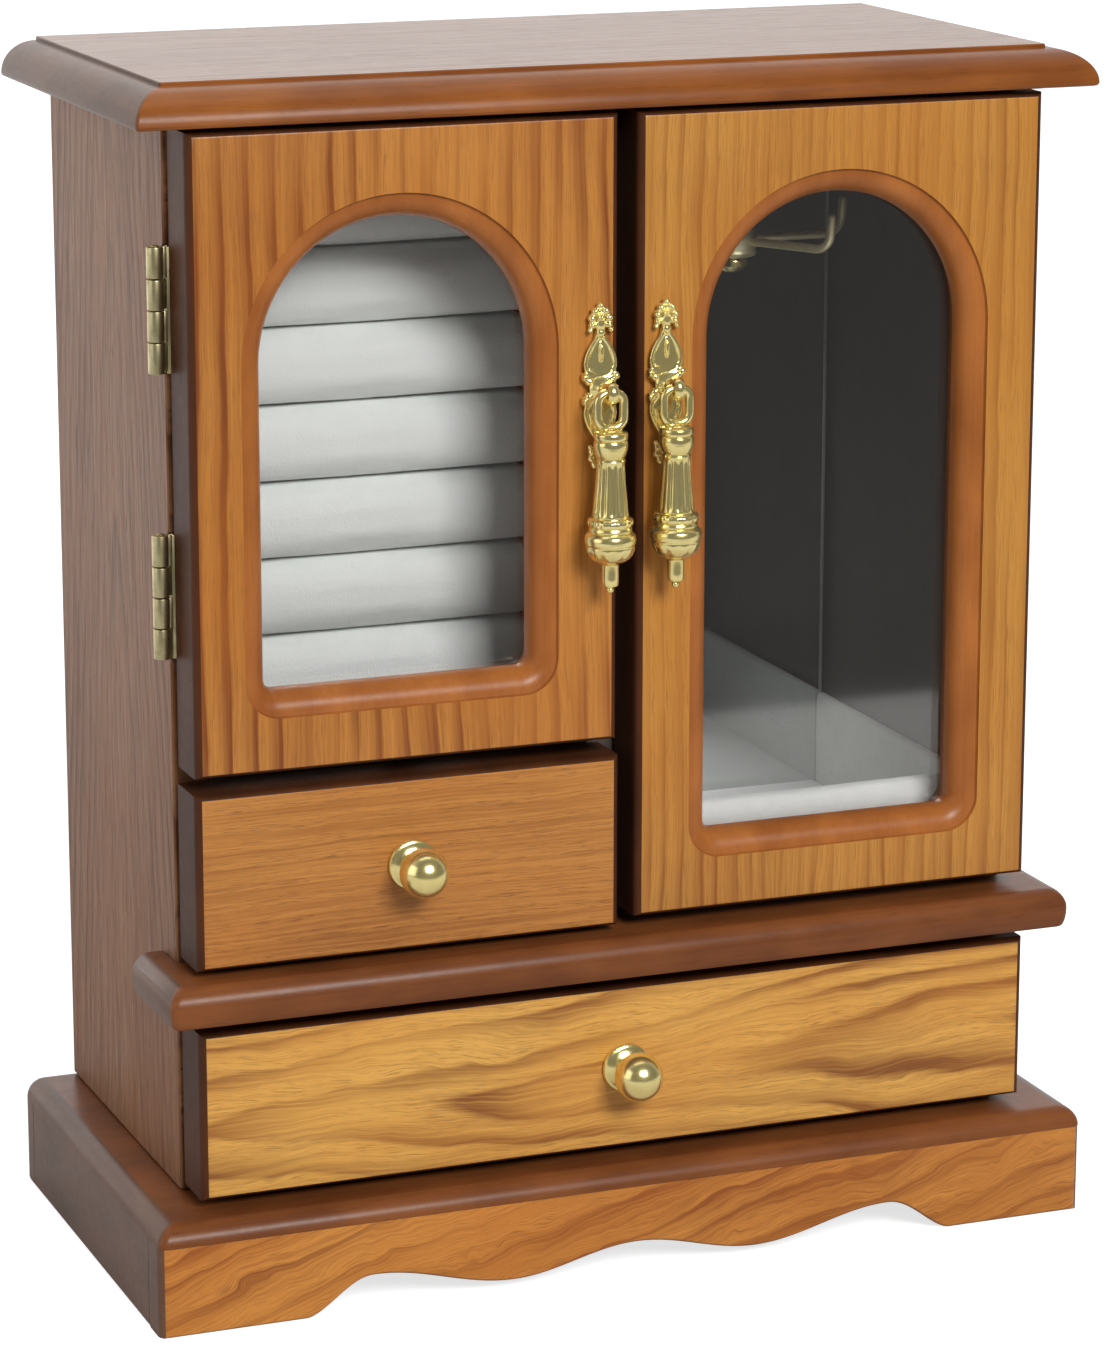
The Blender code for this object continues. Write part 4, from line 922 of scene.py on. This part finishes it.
def build_drop(word):
    low, high = span("pull_%s_drop" % word)
    joint = Vector(JOINTS["%s_pull_swing" % word]["pos_m"])
    belly = (high[0] - low[0]) / 2
    wire_r = 1.15 * MM
    eye_half, eye_high, bend = 3.45 * MM, 8.7 * MM, 2.6 * MM
    path = []
    for cx, cz, start in ((eye_half - bend, -bend, 0.0), (-(eye_half - bend), -bend, 0.5),
                          (-(eye_half - bend), -(eye_high - bend), 1.0),
                          (eye_half - bend, -(eye_high - bend), 1.5)):
        for k in range(9):
            angle = math.pi * (start + 0.5 * k / 8)
            path.append((joint.x + cx + bend * math.cos(angle), joint.y,
                         joint.z + cz + bend * math.sin(angle)))
    eye = wire(path, wire_r, 18, closed=True)
    bottom = joint.z - low[2]
    top = eye_high

    start, tall = 8.7, 41.8             # the body's first station and its height, in mm

    def at(mm):
        return top + (bottom - top) * (mm - start) / tall

    stations = [(0.0, 8.7), (1.9, 8.7), (2.6, 8.95), (3.1, 9.4), (4.0, 9.65), (4.3, 10.0), (4.35, 11.2),
                (4.0, 11.7),
                (4.25, 12.0), (4.35, 12.9), (4.2, 14.3), (3.75, 15.6), (3.4, 16.2), (3.6, 16.5), (3.75, 16.8),
                (3.6, 17.2), (3.55, 17.8), (3.65, 20.0), (3.85, 23.0), (4.15, 26.0), (4.4, 29.0), (4.6, 30.6),
                (4.5, 31.0), (5.2, 31.25), (5.75, 31.8), (5.85, 32.4), (5.6, 33.1), (5.2, 33.5), (5.35, 33.8),
                (5.5, 34.2), (5.3, 34.7), (5.7, 35.0), (6.3, 35.6), (6.5, 36.5), (6.4, 37.6), (6.1, 38.2),
                (6.2, 38.7), (6.1, 39.5), (5.6, 40.6), (4.7, 41.7), (3.6, 42.4), (2.6, 42.75), (2.2, 43.1),
                (2.15, 43.6), (2.15, 48.0), (1.95, 48.5), (1.3, 48.75), (0.75, 48.9), (0.75, 49.05),
                (0.95, 49.3), (0.95, 49.8), (0.7, 50.25), (0.35, 50.45), (0.0, 50.5)]
    profile = []
    for (r0, s0), (r1, s1) in zip(stations[:-1], stations[1:]):
        pieces = 3 if s1 - s0 > 0.5 else 2
        for k in range(pieces):
            t = k / pieces
            profile.append((r0 + (r1 - r0) * t, s0 + (s1 - s0) * t))
    profile.append(stations[-1])
    scale = belly / (6.5 * MM)

    def fluted(radius, along, angle):
        mm = start + (along - top) / (bottom - top) * tall
        if 17.4 < mm < 30.7:
            fade = min(1.0, (mm - 17.4) / 0.8, (30.7 - mm) / 0.8)
            return radius - 0.45 * MM * fade * (1 - abs(math.cos(6 * angle)) ** 0.7)
        if 38.4 < mm < 42.6:
            fade = math.sin(math.pi * (mm - 38.4) / 4.2)
            return radius - 0.28 * MM * fade * (0.5 - 0.5 * math.cos(12 * angle))
        if 31.0 < mm < 33.5:
            fade = math.sin(math.pi * (mm - 31.0) / 2.5)
            return radius - 0.25 * MM * fade * (0.5 - 0.5 * math.cos(18 * angle))
        return radius

    steps = [(max(r, 0.0) * MM * scale, at(s)) for r, s in profile]
    body = lathe(steps, joint, (0, 0, -1), 108, fluted)
    verts, faces = merge(eye, body)
    piece("pull_%s_pendant" % word, verts, faces, "gold", "pull_" + word, 45, None,
                 ("pull_%s_drop" % word,))


def apply_modifiers(item):
    bpy.context.view_layer.update()
    shaped = item.evaluated_get(bpy.context.evaluated_depsgraph_get())
    mesh = bpy.data.meshes.new_from_object(shaped)
    old = item.data
    looks = [m for m in old.materials]
    item.modifiers.clear()
    item.data = mesh
    if not mesh.materials:
        for look in looks:
            mesh.materials.append(look)
    bpy.data.meshes.remove(old)


def build_hinges():
    for word in ("left", "right"):
        sign = -1 if word == "left" else 1
        joint = JOINTS["%s_door_hinge" % word]["pos_m"]
        for place in ("upper", "lower"):
            for kind in ("fixed", "swing"):
                node = "hinge_%s_%s_%s" % (word, place, kind)
                low, high = span(node)
                swing_low, swing_high = span("hinge_%s_%s_swing" % (word, place))
                z0 = swing_low[2]
                length = swing_high[2] - z0
                part = length / 4
                own = 0 if kind == "fixed" else 1
                y0 = joint[1] + (0.25 * MM if kind == "fixed" else -1.25 * MM)
                inner, near = abs(low[0]) if sign > 0 else abs(high[0]), abs(joint[0]) - 2.45 * MM
                a, b = (inner, near) if sign > 0 else (-near, -inner)
                parts = [eased_box((a, y0, z0), (b, y0 + 1.0 * MM, z0 + length), 0.2 * MM, 2)]
                for k in range(4):
                    if k % 2 != own:
                        continue
                    start = z0 + part * k + (0.15 * MM if k else 0.0)
                    end = z0 + part * (k + 1) - (0.15 * MM if k < 3 else 0.0)
                    tall = end - start
                    r = 2.13 * MM
                    profile = [(0, 0), (r - 0.25 * MM, 0), (r - 0.06 * MM, 0.08 * MM), (r, 0.3 * MM),
                               (r, tall - 0.3 * MM), (r - 0.06 * MM, tall - 0.08 * MM), (r - 0.25 * MM, tall),
                               (0, tall)]
                    parts.append(lathe(profile, (joint[0], joint[1], start), (0, 0, 1), 40))
                    a, b = sorted((sign * (abs(joint[0]) - 2.7 * MM), sign * (abs(joint[0]) - 1.5 * MM)))
                    parts.append(eased_box((a, y0, start), (b, y0 + 1.0 * MM, end), 0.15 * MM, 2))
                if kind == "fixed":
                    tip = [(0, 0), (0.95 * MM, 0), (0.95 * MM, 0.25 * MM), (0.6 * MM, 0.38 * MM),
                           (0, 0.4 * MM)]
                    parts.append(lathe(tip, (joint[0], joint[1], z0 + length + 0.05 * MM), (0, 0, 1), 24))
                verts, faces = merge(*parts)
                body = "case" if kind == "fixed" else "door_" + word
                piece(node + "_fine", verts, faces, "hinge", body, 35, None, (node,))


def build_carousel():
    low, high = span("carousel_mount")
    joint = JOINTS["carousel_spin"]["pos_m"]
    x, y, arm = joint
    top = high[2]
    profile = [(0, 0), (8.8, 0), (9.0, 0.2), (9.0, 1.0), (8.6, 1.4), (7.4, 1.7), (5.6, 2.0), (4.2, 2.6),
               (3.2, 3.3),
               (2.6, 4.0), (2.2, 4.6), (2.2, 12.0)]
    tail = (top - low[2]) / MM
    profile += [(2.2, tail - 3.6), (4.1, tail - 3.5), (4.2, tail - 3.2), (4.2, tail - 2.0), (3.9, tail - 1.7),
                (2.9, tail - 0.9), (2.2, tail - 0.35), (1.1, tail - 0.05), (0, tail)]
    verts, faces = lathe([(r * MM, s * MM) for r, s in profile], (x, y, top), (0, 0, -1), 56)
    piece("carousel_spindle", verts, faces, "gold", "case", 40, None, ("carousel_mount",))
    parts = []
    hub = [(2.5, -4.2), (5.4, -4.3), (6.0, -4.0), (6.5, -3.1), (6.3, -2.4), (6.6, -1.8), (6.6, 1.8),
           (6.3, 2.4),
           (6.5, 3.0), (6.0, 3.8), (5.4, 4.1), (2.5, 4.0)]
    rings = []
    for angle in circle(56):
        rings.append([(x + r * MM * math.cos(angle), y + r * MM * math.sin(angle), arm + h * MM) for r,
                      h in hub])
    verts, faces, _ = skin(rings, closed=True)
    parts.append((verts, faces))
    reach, bend = 31.6 * MM, 4.6 * MM
    for angle in circle(6):
        out = Vector((math.cos(angle), math.sin(angle), 0.0))
        centre = Vector((x, y, arm))
        path = [centre + out * (5.0 + 3.6 * k) * MM for k in range(6)]
        path.append(centre + out * (reach - bend))
        for k in range(1, 9):
            turn = math.pi / 2 * k / 8 * 0.93
            path.append(centre + out * (reach - bend + bend * math.sin(turn))
                        + Vector((0, 0, bend * (1 - math.cos(turn)))))
        for k in range(1, 4):
            path.append(path[-1] + Vector((0, 0, 1.55 * MM)) + out * 0.12 * MM)
        parts.append(wire(path, 1.15 * MM, 16))
    verts, faces = merge(*parts)
    piece("carousel_arms", verts, faces, "wire", "carousel", 40, None, ("carousel_rotor",))


def build_mirror_edge():
    """Ground bevel along the right edge of the mirror."""
    low, high = span("mirror")
    foot = span("bin_liner")[1][2]
    x0, x1, y = high[0] - 0.95 * MM, high[0] - 0.05 * MM, low[1]
    rings = []
    for z in (foot + 0.3 * MM, foot + 0.6 * MM, (foot + high[2]) / 2, high[2] - 0.3 * MM):
        rings.append([(x0, y + 0.15 * MM, z), (x0, y - 0.06 * MM, z), (x0 + 0.35 * MM, y - 0.10 * MM, z),
                      (x1, y - 0.06 * MM, z), (x1, y + 0.15 * MM, z)])
    loft("mirror_bevel", rings, "glass_edge", "case", 30, ())


def build_catch():
    low, high = span("catch_left")
    x, y = (low[0] + high[0]) / 2, (low[1] + high[1]) / 2
    tall = high[2] - low[2]
    profile = [(0, 0), (3.6 * MM, 0), (3.8 * MM, 0.3 * MM), (3.8 * MM, tall - 0.9 * MM),
               (3.6 * MM, tall - 0.3 * MM),
               (3.2 * MM, tall), (2.6 * MM, tall), (2.5 * MM, tall - 0.4 * MM), (0, tall - 0.4 * MM)]
    verts, faces = lathe(profile, (x, y, low[2]), (0, 0, 1), 48)
    piece("catch_post", verts, faces, "steel", "case", 40, None, ("catch_left",))


# ================================================================ soft pieces
CLOTH_FRAMES = 20


def simulate(item, pressure, cap, voxel):
    """Inflate a padded piece as cloth over its own rest shape and keep the result."""
    remesh = item.modifiers.new("Remesh", "REMESH")
    remesh.mode = "VOXEL"
    remesh.voxel_size = voxel
    apply_modifiers(item)
    rest = np.array([v.co for v in item.data.vertices])
    cloth = item.modifiers.new("Cloth", "CLOTH")
    settings = cloth.settings
    settings.quality = 5
    settings.mass = 0.15
    settings.use_pressure = True
    settings.uniform_pressure_force = pressure
    settings.tension_stiffness = 12
    settings.compression_stiffness = 12
    settings.shear_stiffness = 6
    settings.bending_stiffness = 0.4
    settings.effector_weights.gravity = 0.0
    cloth.collision_settings.use_collision = False
    cloth.point_cache.frame_start = 1
    cloth.point_cache.frame_end = CLOTH_FRAMES
    scene = bpy.context.scene
    for step in range(1, CLOTH_FRAMES + 1):
        scene.frame_set(step)
    bpy.context.view_layer.update()
    shaped = item.evaluated_get(bpy.context.evaluated_depsgraph_get())
    moved = np.array([v.co for v in shaped.data.vertices])
    item.modifiers.clear()
    shift = moved - rest
    size = np.linalg.norm(shift, axis=1, keepdims=True)
    shift *= np.minimum(1.0, cap / np.maximum(size, 1e-9))
    item.data.vertices.foreach_set("co", (rest + shift).ravel())
    item.data.update()
    scene.frame_set(1)


def refine(item, low, high, lumps, seed):
    """Subdivide, add the pile's soft unevenness and keep the piece inside its CAD box."""
    part = item.modifiers.new("Fine", "SUBSURF")
    part.levels = part.render_levels = 1
    apply_modifiers(item)
    mesh = item.data
    co = np.array([v.co for v in mesh.vertices])
    normals = np.array([v.normal for v in mesh.vertices])
    offsets = np.array([noise.noise(Vector(p) * 130.0 + Vector((seed, 0, 0))) * 0.6
                        + noise.noise(Vector(p) * 420.0 + Vector((0, seed, 0))) * 0.4 for p in co])
    co = co + normals * (offsets * lumps)[:, None]
    co = np.clip(co, np.array(low), np.array(high))
    mesh.vertices.foreach_set("co", co.ravel())
    mesh.update()
    mesh.shade_smooth()


def cushion_rings(low, high, margin, around, bluff, end, curve, squash=1.0):
    """Rings along x of a long cushion inside low and high. bluff squares the section in y and z;
    end=(reach, depth) is where the ends draw in and by how much, following curve."""
    mid_y, mid_z = (low[1] + high[1]) / 2, (low[2] + high[2]) / 2
    half_y, half_z = (high[1] - low[1]) / 2 - margin[1], (high[2] - low[2]) / 2 - margin[2]
    length = high[0] - low[0]
    reach, depth = end
    rings = []
    for step in range(27):
        share = step / 26
        x = low[0] + margin[0] + (length - 2 * margin[0]) * share
        near = max(0.0, 1 - min(share, 1 - share) * length / reach)
        shrink = depth * curve(near)
        ring = []
        for angle in circle(around):
            c, s = math.cos(angle), math.sin(angle)
            dy = math.copysign(abs(c) ** bluff[0], c) * max(half_y - shrink * squash, 0.5 * MM)
            dz = math.copysign(abs(s) ** bluff[1], s) * (half_z - shrink)
            ring.append((x, mid_y + dy, mid_z + dz))
        rings.append(ring)
    return rings


def build_rolls():
    for index in range(1, 8):
        node = "ring_roll_%d" % index
        low, high = span(node)
        rings = cushion_rings(low, high, (0.5 * MM, 0.5 * MM, 0.45 * MM), 40, (0.52, 0.52),
                              (2.5 * MM, 1.6 * MM),
                              lambda t: t ** 2)
        roll = loft(node + "_foam", rings, "plush", "case", 180, (node,))
        simulate(roll, 3.0, 0.9 * MM, 1.7 * MM)
        refine(roll, low, high, 0.10 * MM, index * 3.7)


def build_bin():
    low, high = span("bin_pad")
    rings = cushion_rings(low, high, (0.3 * MM, 0.3 * MM, 0.3 * MM), 44, (0.5, 0.28), (3.0 * MM, 2.4 * MM),
                          lambda t: 1 - math.sqrt(max(0.0, 1 - t ** 2)), 0.5)
    pad = loft("bin_front_cushion", rings, "bin_plush", "case", 180, ("bin_pad",))
    simulate(pad, 3.0, 0.5 * MM, 1.6 * MM)
    refine(pad, low, high, 0.08 * MM, 41.0)

    low, high = span("bin_liner")
    wall, sheet, soft = 3.0 * MM, 1.5 * MM, 1.3 * MM
    x0, x1, z0, z1 = low[0], high[0], low[2], high[2]
    section = [(x0, z0), (x1, z0)]
    for side, edge in ((1, x1), (-1, x0)):
        inner = edge - side * wall
        lip = []
        for k in range(13):
            angle = math.pi * k / 12
            lip.append((edge - side * wall / 2 + side * math.cos(angle) * wall / 2,
                        z1 - soft + soft * math.sin(angle)))
        if side > 0:
            section += [(x1, z0 + (z1 - soft - z0) * k / 6) for k in range(1, 6)] + lip
            section += [(inner, z1 - soft - (z1 - soft - z0 - sheet) * k / 6) for k in range(1, 7)]
            section += [(x1 - wall - (x1 - x0 - 2 * wall) * k / 12, z0 + sheet) for k in range(1, 12)]
        else:
            section += [(inner, z0 + sheet + (z1 - soft - z0 - sheet) * k / 6) for k in range(6)] + lip[::-1]
            section += [(x0, z1 - soft - (z1 - soft - z0) * k / 6) for k in range(1, 6)]
    rings = [[(x, low[1] + (high[1] - low[1]) * k / 14, z) for x, z in section] for k in range(15)]
    liner = loft("bin_liner_cloth", rings, "bin_plush", "case", 50, ("bin_liner",))


def build_sheet_pad(name, node, body):
    """Thin felt pad: crowned a little in the middle, with soft wrapped edges."""
    low, high = span(node)
    nx, ny = 34, 28
    thick = high[2] - low[2]
    verts, faces = [], []
    for top in (0, 1):
        for j in range(ny + 1):
            for i in range(nx + 1):
                u, v = i / nx, j / ny
                x, y = low[0] + (high[0] - low[0]) * u, low[1] + (high[1] - low[1]) * v
                edge = min(u * (high[0] - low[0]), (1 - u) * (high[0] - low[0]), v * (high[1] - low[1]),
                           (1 - v) * (high[1] - low[1]))
                round_off = min(1.0, edge / (thick * 0.9))
                crown = 0.86 + 0.10 * math.sin(math.pi * u) * math.sin(math.pi * v)
                crown += 0.03 * noise.noise(Vector((x, y, 0)) * 60)
                z = low[2] + (thick * min(crown, 1.0)
                              * (0.45 + 0.55 * math.sqrt(1 - (1 - round_off) ** 2)) if top
                              else 0.0)
                verts.append((x, y, z))
    stride = (nx + 1) * (ny + 1)
    for j in range(ny):
        for i in range(nx):
            a = j * (nx + 1) + i
            faces.append((a, a + nx + 1, a + nx + 2, a + 1))
            faces.append((a + stride, a + 1 + stride, a + nx + 2 + stride, a + nx + 1 + stride))
    border = [i for i in range(nx + 1)] + [(j + 1) * (nx + 1) + nx for j in range(ny)]
    border += [ny * (nx + 1) + i for i in range(nx - 1, -1, -1)] + [j * (nx + 1) for j in range(ny - 1, 0,
                                                                                                -1)]
    for k, a in enumerate(border):
        b = border[(k + 1) % len(border)]
        faces.append((a, b, b + stride, a + stride))
    pad = piece(name, verts, faces, "felt", body, 50, None, (node,))


# ================================================================ build everything
build_top()
build_base()
build_rail()
build_door("left", "left_door")
build_door("right", "right_door")
build_drawer_front("big", "big_drawer")
build_drawer_front("small", "small_drawer")
for word in ("big", "small"):
    build_knob(word)
for word in ("left", "right"):
    build_plate(word)
    build_drop(word)
build_hinges()
build_carousel()
build_mirror_edge()
build_catch()
build_rolls()
build_bin()
build_sheet_pad("bin_floor_felt", "bin_floor", "case")
for word in ("big", "small"):
    build_sheet_pad("drawer_%s_felt" % word, "drawer_%s_lining" % word, "drawer_" + word)

KEPT = {
    "side_panel_left": "panel_left", "side_panel_right": "panel_right", "back_panel": "board",
    "deck_panel": "inner", "divider_panel": "inner", "shelf_panel": "inner", "ring_backer": "board",
    "glass_left": "glass", "glass_right": "glass", "mirror": "mirror", "strike_left": "steel",
}
for word in ("big", "small"):
    for part in ("side_left", "side_right", "back"):
        KEPT["drawer_%s_%s" % (word, part)] = "drawer_wood"
    KEPT["drawer_%s_bottom" % word] = "board"
for node, look in KEPT.items():
    mesh = NODES[node].data
    mesh.materials.clear()
    mesh.materials.append(MATERIALS[look])


# ================================================================ stage, light and camera
def stage_material():
    """Near-white sweep: bright behind the object and darker well in front of it, for the glass."""
    material, n = new_material("studio_white")
    axes = n.place()
    cloud = n.noise(n.vector(*axes), 0.004, 2.0)
    n.set(colour=n.mix(cloud, (0.60, 0.60, 0.60), (0.64, 0.64, 0.64)), rough=0.95, specular=0.0)
    rise = n.ramp(n.mul_add(axes[1], 0.001, 0.0), [(0.15, 0.0), (0.9, 1.0)])
    light = n.tree.nodes.new("ShaderNodeLightPath")
    seen = light.outputs["Is Camera Ray"]
    glow = n.mul_add(rise, STAGE_GLOW, 0.0)
    direct = n.math("SUBTRACT", 1.0, seen)
    n.put(n.shader.inputs["Emission Strength"], n.mul_add(seen, STAGE_SEEN, n.mul(glow, direct)))
    n.shader.inputs["Emission Color"].default_value = (1.0, 1.0, 1.0, 1.0)
    return material


def build_stage():
    rows = []
    radius, wall = 0.6, 2.0
    for y in (-0.55, -0.3, 0.0, 0.3, 0.6, 1.0, wall - radius):
        rows.append((y, 0.0))
    for angle in quarter(12, 1):
        rows.append((wall - radius + radius * math.sin(angle), radius * (1 - math.cos(angle))))
    rows += [(wall, 1.2), (wall, 2.2)]
    verts, faces = [], []
    for y, z in rows:
        for x in (-2.2, -1.0, 1.0, 2.2):
            verts.append((x, y, z))
    for r in range(len(rows) - 1):
        for i in range(3):
            a = r * 4 + i
            faces.append((a, a + 1, a + 5, a + 4))
    mesh = bpy.data.meshes.new("studio_sweep")
    mesh.from_pydata(verts, [], faces)
    mesh.materials.append(stage_material())
    mesh.shade_smooth()
    sweep = bpy.data.objects.new("studio_sweep", mesh)
    bpy.context.scene.collection.objects.link(sweep)


def area_light(name, place, target, size, power):
    light = bpy.data.lights.new(name, "AREA")
    light.shape = "RECTANGLE"
    light.size, light.size_y = size
    light.energy = power
    item = bpy.data.objects.new(name, light)
    item.location = place
    item.rotation_mode = "QUATERNION"
    item.rotation_quaternion = (Vector(place) - Vector(target)).to_track_quat("Z", "Y")
    bpy.context.scene.collection.objects.link(item)


def build_world():
    """White to the camera; a dim room in front and a bright one behind for everything else."""
    world = bpy.data.worlds.new("studio")
    bpy.context.scene.world = world
    n = Nodes(world, "Background")
    place = n.tree.nodes.new("ShaderNodeTexCoord")
    split = n.tree.nodes.new("ShaderNodeSeparateXYZ")
    n.tree.links.new(place.outputs["Generated"], split.inputs[0])
    room = n.ramp(n.mul_add(split.outputs[1], 0.5, 0.5), [(0.35, 0.13), (0.75, 0.80)])
    light = n.tree.nodes.new("ShaderNodeLightPath")
    n.put(n.shader.inputs[0], n.mix(light.outputs["Is Camera Ray"], room, (1.0, 1.0, 1.0)))
    n.shader.inputs[1].default_value = 1.0


build_stage()
build_world()
area_light("key", (0.15, -1.90, 1.28), (0, 0, 0.15), (0.9, 0.7), 43)
area_light("left_fill", (-1.7, -0.3, 0.7), (0, 0, 0.15), (1.2, 1.2), 5)
area_light("overhead", (0.0, 0.2, 1.9), (0, 0, 0.2), (1.4, 1.0), 4)

PHOTO, AXIS, FOCAL = (1112.0, 1347.0), (535.4, 652.4), 4636.67      # fitted camera, in the photo's pixels
SENSOR = 36.0
camera_data = bpy.data.cameras.new("camera")
camera_data.sensor_width = SENSOR
camera_data.sensor_fit = "AUTO"
camera_data.lens = FOCAL * SENSOR / PHOTO[1]
camera_data.shift_x = (PHOTO[0] / 2 - AXIS[0]) / PHOTO[1]
camera_data.shift_y = (AXIS[1] - PHOTO[1] / 2) / PHOTO[1]
camera = bpy.data.objects.new("camera", camera_data)
face_y = span("door_left")[0][1]
azimuth, elevation = math.radians(-21.246), math.radians(13.678)
back = Vector((math.sin(azimuth) * math.cos(elevation), -math.cos(azimuth) * math.cos(elevation),
               math.sin(elevation)))
camera.location = (-0.43247, face_y - 1.04848, 0.43870)
camera.rotation_mode = "QUATERNION"
camera.rotation_quaternion = back.to_track_quat("Z", "Y")
camera_data.clip_start = 0.05
camera_data.clip_end = 20.0
bpy.context.scene.collection.objects.link(camera)
bpy.context.scene.camera = camera
bpy.context.scene.view_settings.view_transform = "Standard"

bpy.context.view_layer.update()
